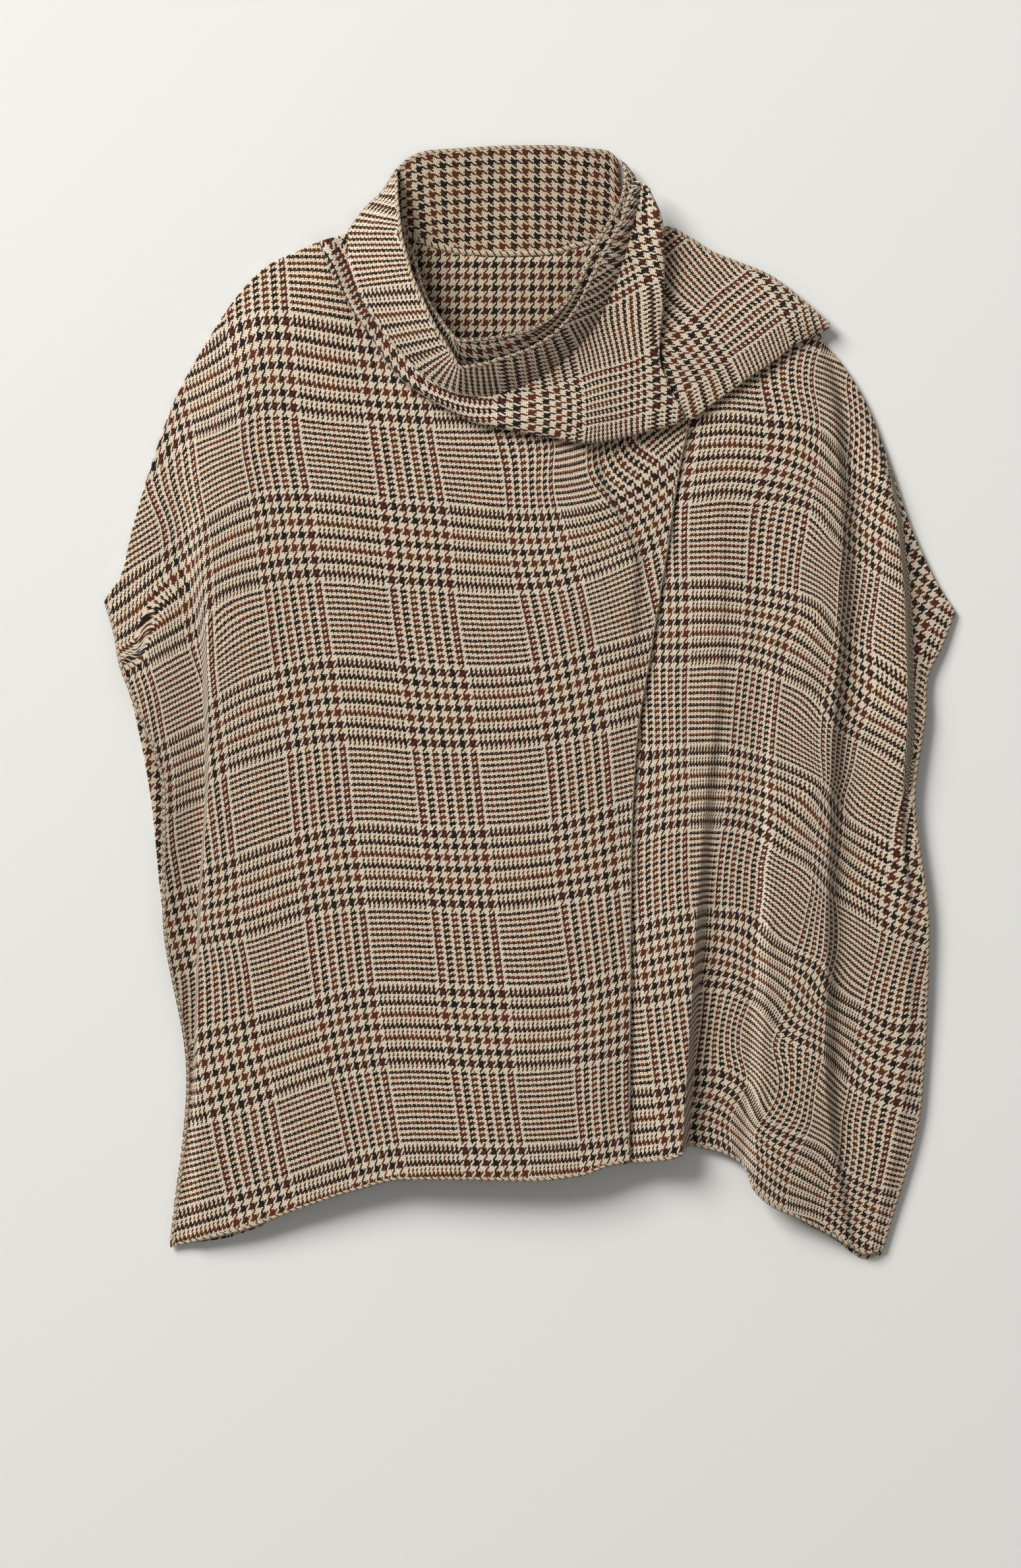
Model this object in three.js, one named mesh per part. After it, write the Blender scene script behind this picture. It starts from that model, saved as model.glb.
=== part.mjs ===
// A checked wool wrap poncho laid flat, front side up. Millimetres, +X to the image right, +Y to the collar,
// +Z up from the surface that it lies on. Each sewn piece is one wall of cloth, built on a net of named lines.
import * as THREE from "three";

const cloth = 2;
const middleShift = 1.85;

// Gaps between a collar piece and the piece that it is sewn to, the share of the left front that its seam
// takes up, and how far off in plan the roll feels what it lies on.
const backSeamGap = 0.75;
const rollSeamGap = 0.65;
const underSeamShare = 0.006;
const rollFeel = 14;

// Grid rows and bow of the bands, the power that closes panel rows up near the shoulder, and the roll's least width.
const bands = {
  collar_back: { rows: 5, bow: 0 },
  collar_under: { rows: 5, bow: 2 },
  collar_wrap: { rows: 5, bow: 1.5 },
  scarf_end: { rows: 8, bow: 4 },
};
const rowPower = 1.25;
const rollLeast = 0.8;

// A line's x, z and pace are given at these shares of the way from the top of a panel to its hem.
const stations = [0, 0.08, 0.2, 0.32, 0.45, 0.6, 0.8, 1];

// Shoulder, neck and hem edges as points from image left to image right.
const edges = {
  rightShoulderAndNeck: [
    { x: -351, y: 83 },
    { x: -337, y: 105 },
    { x: -329, y: 139 },
    { x: -311, y: 200 },
    { x: -292, y: 251 },
    { x: -270, y: 291 },
    { x: -243, y: 332 },
    { x: -219, y: 357 },
    { x: -192, y: 370 },
    { x: -174, y: 377 },
    { x: -163, y: 372 },
    { x: -144, y: 343 },
    { x: -123, y: 308 },
    { x: -98, y: 278 },
    { x: -69, y: 257 },
    { x: -36, y: 243 },
    { x: -4, y: 235 },
    { x: 34, y: 230 },
    { x: 77, y: 236 },
    { x: 130, y: 238 },
  ],
  rightHem: [
    { x: -297, y: -447 },
    { x: -238, y: -433 },
    { x: -196, y: -417 },
    { x: -142, y: -399 },
    { x: -106, y: -391 },
    { x: -58, y: -391 },
    { x: -1, y: -392 },
    { x: 38, y: -388 },
    { x: 66, y: -379 },
    { x: 79, y: -377 },
  ],
  leftShoulderAndNeck: [
    { x: -63, y: 259 },
    { x: -36, y: 256 },
    { x: -4, y: 264 },
    { x: 23, y: 280 },
    { x: 45, y: 302 },
    { x: 64, y: 334 },
    { x: 77, y: 358 },
    { x: 96, y: 368 },
    { x: 120, y: 366 },
    { x: 158, y: 354 },
    { x: 194, y: 342 },
    { x: 215, y: 327 },
    { x: 234, y: 307 },
    { x: 241, y: 293 },
    { x: 249, y: 284 },
    { x: 265, y: 262 },
    { x: 278, y: 237 },
    { x: 293, y: 197 },
    { x: 312, y: 141 },
    { x: 334, y: 94 },
    { x: 347, y: 74 },
  ],
  leftHem: [
    { x: -39, y: -364 },
    { x: 23, y: -374 },
    { x: 78, y: -377 },
    { x: 109, y: -375 },
    { x: 122, y: -371 },
    { x: 129, y: -364 },
    { x: 141, y: -366 },
    { x: 159, y: -371 },
    { x: 173, y: -380 },
    { x: 180, y: -397 },
    { x: 195, y: -412 },
    { x: 218, y: -423 },
    { x: 245, y: -437 },
    { x: 260, y: -446 },
    { x: 274, y: -453 },
    { x: 288, y: -450 },
  ],
  backShoulderAndNeck: [
    { x: -350, y: 83 },
    { x: -336, y: 105 },
    { x: -328, y: 139 },
    { x: -310, y: 200 },
    { x: -291, y: 251 },
    { x: -269, y: 291 },
    { x: -242, y: 332 },
    { x: -218, y: 356 },
    { x: -192, y: 369 },
    { x: -174, y: 374 },
    { x: -163, y: 371 },
    { x: -140, y: 382 },
    { x: -125, y: 387 },
    { x: -110, y: 387 },
    { x: -96, y: 378 },
    { x: -77, y: 371 },
    { x: -58, y: 367 },
    { x: -24, y: 365 },
    { x: 12, y: 366 },
    { x: 40, y: 373 },
    { x: 60, y: 377 },
    { x: 77, y: 379 },
    { x: 104, y: 372 },
    { x: 120, y: 365 },
    { x: 158, y: 353 },
    { x: 194, y: 341 },
    { x: 214, y: 327 },
    { x: 233, y: 307 },
    { x: 240, y: 293 },
    { x: 248, y: 284 },
    { x: 264, y: 262 },
    { x: 277, y: 237 },
    { x: 292, y: 197 },
    { x: 311, y: 141 },
    { x: 333, y: 94 },
    { x: 346, y: 74 },
  ],
  backHem: [
    { x: -297, y: -445 },
    { x: -255, y: -440 },
    { x: -224, y: -430 },
    { x: -196, y: -414 },
    { x: -142, y: -396 },
    { x: -106, y: -387 },
    { x: -24, y: -386 },
    { x: 50, y: -376 },
    { x: 126, y: -360 },
    { x: 160, y: -366 },
    { x: 178, y: -380 },
    { x: 195, y: -407 },
    { x: 218, y: -424 },
    { x: 245, y: -438 },
    { x: 275, y: -456.5 },
    { x: 287, y: -453 },
  ],
};

// A front or back panel: a row for each line that runs from its top edge to its hem. x and z are the line's
// place and the height of its outer face, pace its share of the way down, and cells the grid to the next line.
const panels = {
  right_front: {
    top: edges.rightShoulderAndNeck,
    hem: edges.rightHem,
    rows: 26,
    lines: [
      { name: "side", cells: 3, x: [-351, -344, -338, -326, -302, -302, -282, -297],
        z: [4.4, 6, 9, 11, 11, 10, 7, 5], pace: [0, 0.044, 0.1, 0.157, 0.3, 0.48, 0.734, 1] },
      { name: "side foot", cells: 3, x: [-300, -296, -289, -282, -277, -283, -279, -286],
        z: [4.4, 8, 10, 11, 11, 10, 9, 6] },
      { name: "side ridge", cells: 4, x: [-278, -276, -270, -264, -262, -269, -274, -274],
        z: [4.4, 12, 20, 23, 24, 22, 16, 10] },
      { name: "shoulder", cells: 4, x: [-219, -217, -214, -212, -210, -207, -203, -200],
        z: [4.4, 17, 22, 24, 24, 24, 22, 18] },
      { name: "neck point", cells: 5, x: [-163, -160, -157, -154, -151, -148, -145, -142],
        z: [5, 17, 23, 25, 25, 25, 25, 22] },
      { name: "neck curve", cells: 6, x: [-98, -97, -95, -94, -93, -92, -91, -90],
        z: [17, 21, 24, 25, 25, 26, 27, 27] },
      { name: "centre", cells: 7, x: [-15, -15, -16, -18, -20, -22, -25, -28],
        z: [21, 22, 24, 25, 25, 26, 28, 29] },
      { name: "pleat lip", cells: 2, x: [38, 52, 82, 78, 66, 60, 58, 56],
        z: [22, 26, 26, 24, 23, 24, 26, 28] },
      { name: "pleat foot", cells: 4, x: [46, 62, 92, 88, 75, 69, 67, 65],
        z: [21, 21, 21, 22, 22, 23, 25, 27] },
      { name: "front edge", cells: 0, x: [130, 120, 109, 97, 85, 81, 80, 79],
        z: [21, 21, 21, 21, 21, 22, 24, 26] },
    ],
  },
  left_front: {
    top: edges.leftShoulderAndNeck,
    hem: edges.leftHem,
    rows: 26,
    lines: [
      { name: "inner edge", cells: 5, x: [-63, -60, -57, -54, -50, -47, -43, -39],
        z: [9, 8, 7, 7, 7, 7, 8, 9] },
      { name: "under the front edge", cells: 5, x: [60, 90, 104, 97, 88, 81, 80, 79],
        z: [11, 14, 15, 16, 16, 17, 19, 21] },
      { name: "centre fold lip", cells: 2, x: [150, 152, 154, 154, 152, 140, 131, 122],
        z: [4.4, 14, 19, 21, 22, 23, 25, 27] },
      { name: "centre fold foot", cells: 4, x: [156, 158, 160, 161, 161, 151, 140, 129],
        z: [4.4, 14, 19, 20, 20, 17, 11, 8] },
      { name: "outer fold foot", cells: 2, x: [180, 183, 186, 188, 189, 187, 181, 173],
        z: [4.4, 14, 19, 20, 20, 17, 11, 8] },
      { name: "outer fold lip", cells: 6, x: [186, 189, 192, 195, 197, 197, 191, 181],
        z: [4.4, 14, 19, 21, 22, 23, 24, 22] },
      { name: "arm fold lip", cells: 2, x: [239, 246, 252, 250, 244, 241, 239, 258],
        z: [4.4, 17, 22, 24, 24, 24, 23, 12] },
      { name: "arm fold foot", cells: 5, x: [246, 258, 264, 261, 255, 251, 249, 267],
        z: [4.4, 8, 10, 11, 12, 12, 11, 8] },
      { name: "wrist fold lip", cells: 2, x: [290, 298, 305, 307, 302, 308, 303, 279],
        z: [4.4, 15, 19, 20, 17, 14, 12, 7] },
      { name: "wrist fold foot", cells: 3, x: [297, 306, 313, 314, 307, 316, 311, 283],
        z: [4.4, 8, 10, 11, 11, 11, 9, 6] },
      { name: "side", cells: 0, x: [347, 337, 324, 322, 313, 325, 320, 288],
        z: [4.4, 6, 8, 10, 11, 10, 7, 5], pace: [0, 0.05, 0.107, 0.16, 0.294, 0.494, 0.752, 1] },
    ],
  },
  back_panel: {
    top: edges.backShoulderAndNeck,
    hem: edges.backHem,
    rows: 7,
    lines: [
      { name: "right side", cells: 8, x: [-350, -343, -337, -328, -313, -303, -283, -297],
        z: stations.map(() => cloth), pace: [0, 0.044, 0.1, 0.157, 0.3, 0.48, 0.734, 1] },
      { name: "right neck point", cells: 4, x: [-163, -160, -157, -154, -151, -148, -145, -142],
        z: stations.map(() => cloth) },
      { name: "seam curve", cells: 4, x: [-96, -96, -95, -94, -93, -92, -91, -90],
        z: stations.map(() => cloth) },
      { name: "centre", cells: 5, x: stations.map(() => -10), z: stations.map(() => cloth) },
      { name: "left neck point", cells: 4, x: [90, 90, 90, 90, 89, 88, 87, 86],
        z: stations.map(() => cloth) },
      { name: "outer fold", cells: 7, x: [180, 183, 186, 188, 189, 187, 181, 177],
        z: stations.map(() => cloth) },
      { name: "left side", cells: 0, x: [346, 336, 323, 321, 312, 324, 319, 287],
        z: stations.map(() => cloth), pace: [0, 0.05, 0.107, 0.16, 0.294, 0.494, 0.752, 1] },
    ],
  },
};

// The standing collar: its top edge and the line below it, by station from image left to image right.
const wrapBand = [
  { top: [-111, 437, 9], foot: [-112, 437, 7] },
  { top: [-111, 419, 20], foot: [-122, 420, 8] },
  { top: [-109, 398, 29], foot: [-136, 406, 9] },
  { top: [-107, 382, 34], foot: [-151, 384, 11] },
  { top: [-103, 366, 37], foot: [-151, 366, 15] },
  { top: [-99, 351, 40], foot: [-147, 346, 19] },
  { top: [-89, 327, 44], foot: [-137, 325, 22] },
  { top: [-80, 308, 47], foot: [-122, 302, 25] },
  { top: [-72, 294, 48], foot: [-108, 286, 27] },
  { top: [-66, 284, 49], foot: [-89, 267, 29] },
  { top: [-58, 273, 50], foot: [-58, 249, 30] },
  { top: [-43, 275, 50], foot: [-40, 250, 30] },
  { top: [-29, 279, 50], foot: [-24, 253, 30] },
  { top: [-5, 287, 50], foot: [0, 262, 30] },
  { top: [17, 300, 49], foot: [26, 280, 30] },
  { top: [36, 322, 47], foot: [48, 303, 30] },
  { top: [48, 346, 44], foot: [63, 330, 30] },
  { top: [61, 373, 40], foot: [76, 366, 30] },
  { top: [72, 392, 37], foot: [83, 392, 29] },
  { top: [80, 417, 33], foot: [88, 414, 28] },
  { top: [84, 426, 30], foot: [89, 425, 26] },
];

// The fold that rolls over below the band: its outer edge, by the band's stations from the left neck point on.
const rollStart = 3;
const rollEdge = [
  { x: -174, y: 377 },
  { x: -168, y: 361 },
  { x: -160, y: 344 },
  { x: -147, y: 321 },
  { x: -132, y: 300 },
  { x: -122, y: 283 },
  { x: -107, y: 264 },
  { x: -70, y: 240 },
  { x: -48, y: 229 },
  { x: -30, y: 225 },
  { x: 8, y: 218 },
  { x: 45, y: 212 },
  { x: 92, y: 221 },
  { x: 124, y: 234 },
  { x: 104, y: 284 },
  { x: 108, y: 345 },
  { x: 107, y: 390 },
  { x: 96, y: 421 },
];

// The inner collar, from the back of the neck down the image right and round to the image left.
const underBand = [
  { top: [70, 446, 9], foot: [77, 442, 8.5] },
  { top: [76, 436, 14], foot: [86, 429, 8.5] },
  { top: [75, 419, 19], foot: [91, 408, 8.5] },
  { top: [68, 402, 24], foot: [92, 388, 8.5] },
  { top: [58, 385, 28] },
  { top: [49, 368, 31] },
  { top: [41, 349, 34] },
  { top: [25, 323, 38] },
  { top: [10, 310, 40] },
  { top: [-5, 303, 41] },
  { top: [-24, 299, 42] },
  { top: [-44, 296, 42] },
  { top: [-58, 295, 42] },
  { top: [-67, 301, 40], foot: [-86, 282, 12] },
  { top: [-77, 315, 36], foot: [-103, 301, 11] },
  { top: [-87, 332, 32], foot: [-113, 325, 10] },
  { top: [-92, 347, 28], foot: [-118, 345, 9] },
  { top: [-97, 366, 22], foot: [-120, 362, 8] },
  { top: [-107, 384, 14], foot: [-121, 378, 7.5] },
];
// Where the inner collar is sewn to the left front: places along that panel's neck edge, by its stations.
const underSeam = { first: 4, x: [86, 79, 72, 58, 44, 24, -4, -36, -61] };

// The back of the collar, inner face up: its top edge above the neck seam, from image left to image right.
const backBand = [
  { seamX: -163, top: [-152, 383, 3] },
  { seamX: -144, top: [-137, 405, 3.5] },
  { seamX: -127, top: [-122, 420, 4] },
  { seamX: -110, top: [-111, 437, 5] },
  { seamX: -97, top: [-100, 447, 6] },
  { seamX: -80, top: [-86, 452, 7] },
  { seamX: -58, top: [-58, 454, 7] },
  { seamX: -24, top: [-24, 456, 7] },
  { seamX: 12, top: [12, 456.5, 7] },
  { seamX: 40, top: [46, 454, 7] },
  { seamX: 60, top: [62, 452, 6] },
  { seamX: 75, top: [70, 445, 5] },
];

// The loose end thrown over the image-right shoulder: its two long edges, from under the roll to the tip.
const scarfEnd = [
  { upper: [96, 384, 13], lower: [112, 238, 25] },
  { upper: [111, 390, 11], lower: [128, 232, 24.5] },
  { upper: [128, 382, 10], lower: [147, 245, 24] },
  { upper: [147, 370, 9.5], lower: [163, 256, 23.5] },
  { upper: [167, 362, 9], lower: [178, 267, 23] },
  { upper: [194, 351, 9], lower: [200, 282, 21] },
  { upper: [215, 336, 9], lower: [216, 294, 18] },
  { upper: [232, 322, 9], lower: [231, 301, 14] },
  { upper: [244, 311, 9.5], lower: [243, 306, 10] },
];

// Follows values given at rising keys with a smooth curve that never swings past them.
function smooth(keys, values, at) {
  let i = 0;
  while (i < keys.length - 2 && at > keys[i + 1]) i++;
  const slope = (k) => (values[k + 1] - values[k]) / (keys[k + 1] - keys[k]);
  const tangent = (k) => {
    if (k === 0) return slope(0);
    if (k === keys.length - 1) return slope(k - 1);
    const before = slope(k - 1);
    const after = slope(k);
    return before * after <= 0 ? 0 : (2 * before * after) / (before + after);
  };
  const span = keys[i + 1] - keys[i];
  const u = Math.min(Math.max((at - keys[i]) / span, 0), 1);
  const rise = u * u * (3 - 2 * u);
  return (
    values[i] * (1 - rise) +
    values[i + 1] * rise +
    span * u * (1 - u) * ((1 - u) * tangent(i) - u * tangent(i + 1))
  );
}

const edgeY = (edge, x) => smooth(edge.map((p) => p.x), edge.map((p) => p.y), x);

// The outer face of a panel at share s across its lines and share t down them.
function panelPoint(panel, s, t) {
  const { lines } = panel;
  const starts = [0];
  lines.forEach((line, i) => i < lines.length - 1 && starts.push(starts[i] + line.cells));
  const at = s * starts[lines.length - 1];
  let i = 0;
  while (i < lines.length - 2 && at > starts[i + 1]) i++;
  const f = (at - starts[i]) / lines[i].cells;
  const down = (line, key) => smooth(stations, line[key] ?? stations, t);
  const across = (key) => (1 - f) * down(lines[i], key) + f * down(lines[i + 1], key);
  const ends = [0, stations.length - 1].map((k) => (1 - f) * lines[i].x[k] + f * lines[i + 1].x[k]);
  const topY = edgeY(panel.top, ends[0]);
  const hemY = edgeY(panel.hem, ends[1]);
  const z = smooth(starts, lines.map((line) => down(line, "z")), at);
  return new THREE.Vector3(across("x"), topY + (hemY - topY) * across("pace"), z);
}

// The share across a panel's lines at which its top edge stands at x.
function shareAtTop({ lines }, x) {
  const total = lines.reduce((sum, line) => sum + line.cells, 0);
  let i = 0;
  let before = 0;
  while (i < lines.length - 2 && x > lines[i + 1].x[0]) before += lines[i++].cells;
  const f = (x - lines[i].x[0]) / (lines[i + 1].x[0] - lines[i].x[0]);
  return (before + f * lines[i].cells) / total;
}

// A grid of points over a panel, with its rows closer together near the shoulder.
function panelGrid(panel) {
  const columns = panel.lines.reduce((sum, line) => sum + line.cells, 0);
  return Array.from({ length: columns + 1 }, (_, i) =>
    Array.from({ length: panel.rows + 1 }, (_, j) =>
      panelPoint(panel, i / columns, (j / panel.rows) ** rowPower),
    ),
  );
}

// The way out of a grid's face at one point: square to its neighbours on both sides.
function faceNormal(grid, i, j) {
  const pick = (a, b) => grid[Math.min(Math.max(a, 0), grid.length - 1)][Math.min(Math.max(b, 0), grid[0].length - 1)];
  const along = pick(i + 1, j).clone().sub(pick(i - 1, j));
  const down = pick(i, j + 1).clone().sub(pick(i, j - 1));
  return down.cross(along).normalize();
}

// A closed wall of cloth: the grid is its outer face, and its inner face lies one cloth thickness behind.
function wall(grid) {
  const m = grid.length;
  const n = grid[0].length;
  const behind = grid.map((row, i) => row.map((p, j) => p.clone().addScaledVector(faceNormal(grid, i, j), -cloth)));
  const position = [grid, behind].flatMap((face) => face.flat()).flatMap((p) => p.toArray());
  const outer = (i, j) => i * n + j;
  const inner = (i, j) => m * n + i * n + j;
  const index = [];
  const quad = (a, b, c, d) => index.push(a, b, c, a, c, d);
  for (let i = 0; i < m - 1; i++)
    for (let j = 0; j < n - 1; j++) {
      quad(outer(i, j), outer(i, j + 1), outer(i + 1, j + 1), outer(i + 1, j));
      quad(inner(i, j), inner(i + 1, j), inner(i + 1, j + 1), inner(i, j + 1));
    }
  for (let i = 0; i < m - 1; i++) {
    quad(outer(i, 0), outer(i + 1, 0), inner(i + 1, 0), inner(i, 0));
    quad(outer(i + 1, n - 1), outer(i, n - 1), inner(i, n - 1), inner(i + 1, n - 1));
  }
  for (let j = 0; j < n - 1; j++) {
    quad(outer(0, j + 1), outer(0, j), inner(0, j), inner(0, j + 1));
    quad(outer(m - 1, j), outer(m - 1, j + 1), inner(m - 1, j + 1), inner(m - 1, j));
  }
  const geometry = new THREE.BufferGeometry();
  geometry.setAttribute("position", new THREE.Float32BufferAttribute(position, 3));
  geometry.setIndex(index);
  geometry.computeVertexNormals();
  return geometry;
}

// A curve through points, sampled at equal shares of its list, so that two curves keep step.
function rail(points, steps) {
  const keys = points.map((_, i) => i);
  return Array.from({ length: steps + 1 }, (_, k) => {
    const at = (k / steps) * (points.length - 1);
    return new THREE.Vector3(...[0, 1, 2].map((axis) => smooth(keys, points.map((p) => p[axis]), at)));
  });
}

// A band between two rails, bowed out by bow millimetres at the middle of its width.
function bandGrid(upper, lower, { rows, bow }) {
  return upper.map((top, i) =>
    Array.from({ length: rows + 1 }, (_, j) => {
      const share = j / rows;
      return top.clone().lerp(lower[i], share).add(new THREE.Vector3(0, 0, bow * Math.sin(Math.PI * share)));
    }),
  );
}

// The height of the highest of some grids over a place in plan, or the back panel's where none is near.
function heightUnder(grids, x, y) {
  let height = cloth;
  for (const grid of grids)
    for (const p of grid.flat())
      if (Math.hypot(p.x - x, p.y - y) < rollFeel) height = Math.max(height, p.z);
  return height;
}

const root = new THREE.Group();
root.position.x = middleShift;
const wool = { outer: 0x8d7a66, inner: 0x9a8062, collar: 0x85705c };
const add = (name, grid, color) => {
  const mesh = new THREE.Mesh(wall(grid), new THREE.MeshStandardMaterial({ color, roughness: 0.95, metalness: 0 }));
  mesh.name = name;
  root.add(mesh);
};

const grids = Object.fromEntries(Object.entries(panels).map(([name, panel]) => [name, panelGrid(panel)]));
add("back_panel", grids.back_panel, wool.inner);
add("right_front", grids.right_front, wool.outer);
add("left_front", grids.left_front, wool.outer);

// The back collar stands on the neck seam, just above the back panel's edge.
const backSeam = backBand.map(({ seamX }) => [seamX, edgeY(edges.backShoulderAndNeck, seamX) + backSeamGap, cloth]);
const backSteps = 2 * (backBand.length - 1);
const backTop = rail(backBand.map((s) => s.top), backSteps);
add("collar_back", bandGrid(backTop, rail(backSeam, backSteps), bands.collar_back), wool.inner);

// The inner collar's foot rests just above the left front's neck edge.
const underFeet = underBand.map((station, i) => {
  if (station.foot) return station.foot;
  const share = shareAtTop(panels.left_front, underSeam.x[i - underSeam.first]);
  const p = panelPoint(panels.left_front, share, underSeamShare);
  return [p.x, p.y, p.z + cloth];
});
const underSteps = 2 * (underBand.length - 1);
const underTop = rail(underBand.map((s) => s.top), underSteps);
add("collar_under", bandGrid(rail(underFeet, underSteps), underTop, bands.collar_under), wool.collar);

// The outer collar band runs from the back of the neck over the front to the image right.
const bandSteps = 2 * (wrapBand.length - 1);
const bandTop = rail(wrapBand.map((s) => s.top), bandSteps);
const bandFoot = rail(wrapBand.map((s) => s.foot), bandSteps);
add("collar_wrap", bandGrid(bandTop, bandFoot, bands.collar_wrap), wool.collar);

// The loose end lies on the left front, just above it.
const scarfSteps = 2 * (scarfEnd.length - 1);
const scarfUpper = rail(scarfEnd.map((s) => s.upper), scarfSteps);
const scarfLower = rail(scarfEnd.map((s) => s.lower), scarfSteps);
const scarfGrid = bandGrid(scarfUpper, scarfLower, bands.scarf_end);
add("scarf_end", scarfGrid, wool.collar);

// The roll's section, from the band's foot out over its fold and back underneath: share of the width,
// millimetres back from the outer edge, and height above what it lies on, or above the foot where raised.
const rollSection = [
  { share: 0.25, back: 0, lift: 8.6, raised: 0.75 },
  { share: 0.5, back: 0, lift: 10.2, raised: 0.45 },
  { share: 0.75, back: 0, lift: 10.4, raised: 0.15 },
  { share: 1, back: 2.2, lift: 8.8, raised: 0 },
  { share: 1, back: 0.4, lift: 6.6, raised: 0 },
  { share: 1, back: 0, lift: 4.4, raised: 0 },
  { share: 1, back: 1.2, lift: 1.4, raised: 0 },
  { share: 1, back: 4, lift: 0, raised: 0 },
  { share: 1, back: 9, lift: -0.1, raised: 0 },
];
const rollSteps = 2 * (rollEdge.length - 1);
const rollFoot = bandFoot.slice(2 * rollStart);
const onPanels = [grids.right_front, scarfGrid];
const rollOuter = rail(rollEdge.map(({ x, y }) => [x, y, 0]), rollSteps);
const rollBase = rollOuter.map(({ x, y }) => heightUnder(onPanels, x, y));
rollOuter.forEach((p, i) => (p.z = Math.max(...rollBase.slice(Math.max(i - 1, 0), i + 2))));
const rollGrid = rollOuter.map((outer, i) => {
  const foot = rollFoot[i];
  const outward = outer.clone().sub(foot).setZ(0);
  const width = outward.length();
  outward.normalize();
  const start = foot.clone().addScaledVector(outward, rollSeamGap);
  const points = rollSection.map(({ share, back, lift, raised }) => {
    const reach = Math.min(Math.max(share * width - back, rollLeast), width);
    const p = start.clone().addScaledVector(outward, reach);
    p.z = outer.z + lift + raised * Math.max(start.z - outer.z - lift, -lift);
    return p;
  });
  return [start, ...points];
});
add("collar_roll", rollGrid, wool.collar);

export default root;
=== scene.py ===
import bpy
import numpy as np
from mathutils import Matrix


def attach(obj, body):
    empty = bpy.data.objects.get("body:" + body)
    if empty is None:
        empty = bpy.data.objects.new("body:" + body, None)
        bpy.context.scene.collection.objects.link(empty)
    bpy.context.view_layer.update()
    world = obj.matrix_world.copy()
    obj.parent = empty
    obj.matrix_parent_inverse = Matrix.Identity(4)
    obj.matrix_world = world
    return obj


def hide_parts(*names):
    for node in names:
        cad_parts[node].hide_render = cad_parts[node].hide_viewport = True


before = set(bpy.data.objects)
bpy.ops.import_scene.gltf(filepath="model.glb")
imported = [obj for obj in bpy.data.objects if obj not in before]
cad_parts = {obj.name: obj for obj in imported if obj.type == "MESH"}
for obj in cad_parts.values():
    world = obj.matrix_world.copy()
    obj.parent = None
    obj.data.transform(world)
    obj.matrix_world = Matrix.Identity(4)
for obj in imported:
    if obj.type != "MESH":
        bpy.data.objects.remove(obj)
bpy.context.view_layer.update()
print("frame loaded:", len(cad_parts), "nodes")

mm = 0.001
cloth = 2 * mm  # thickness of every piece
middleShift = 1.85 * mm  # from the lines' own origin to the frame's, along x

# The photograph's scale, and its pixel over the frame's origin.
photo = {"metresPerPixel": 0.54 * mm, "originX": 804.07, "originY": 1065.6}

# Thread spacing of the cloth, read off the photograph, and the height of a thread's crown.
weave = {"warpPitch": 0.96 * mm, "weftPitch": 1.19 * mm, "crown": 0.3 * mm, "repeat": 112}


# Shares and curves.


def smooth(keys, values, at):
    # Follows values given at rising keys with a cubic in each gap. Its slope at a key is the harmonic mean of
    # the slopes on both sides, or nought where they turn, so the curve never swings past a value.
    keys, values, at = (np.asarray(part, float) for part in (keys, values, at))
    flat = (-1,) + (1,) * (values.ndim - 1)
    run = np.diff(keys)
    slope = np.diff(values, axis=0) / run.reshape(flat)
    product, total = slope[:-1] * slope[1:], slope[:-1] + slope[1:]
    middle = np.where(product > 0, 2 * product / np.where(total == 0, 1, total), 0)
    tangent = np.concatenate([slope[:1], middle, slope[-1:]])
    i = np.clip(np.searchsorted(keys, at, side="left") - 1, 0, len(run) - 1)
    u = np.clip((at - keys[i]) / run[i], 0, 1).reshape(flat)
    rise = u * u * (3 - 2 * u)
    swing = run[i].reshape(flat) * u * (1 - u) * ((1 - u) * tangent[i] - u * tangent[i + 1])
    return values[i] * (1 - rise) + values[i + 1] * rise + swing


def ease(value, low, high):
    # Rises from 0 at low to 1 at high along the S curve 3u^2 - 2u^3.
    u = np.clip((np.asarray(value, float) - low) / (high - low), 0, 1)
    return u * u * (3 - 2 * u)


def placeOf(pixels):
    # A place in metres is the pixel's distance from the origin's pixel times the scale, y turned upwards.
    pixels = np.asarray(pixels, float)
    side = (pixels[..., 0] - photo["originX"]) * photo["metresPerPixel"]
    up = (photo["originY"] - pixels[..., 1]) * photo["metresPerPixel"]
    return np.stack([side, up], -1)


def unit(vectors):
    # Each vector divided by its own length.
    return vectors / np.maximum(np.linalg.norm(vectors, axis=-1, keepdims=True), 1e-12)


def faceNormals(face):
    # Square to the grid's two directions at each point: the way down crossed with the way across.
    return unit(np.cross(np.gradient(face, axis=1), np.gradient(face, axis=0)))


# Meshes.


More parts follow.
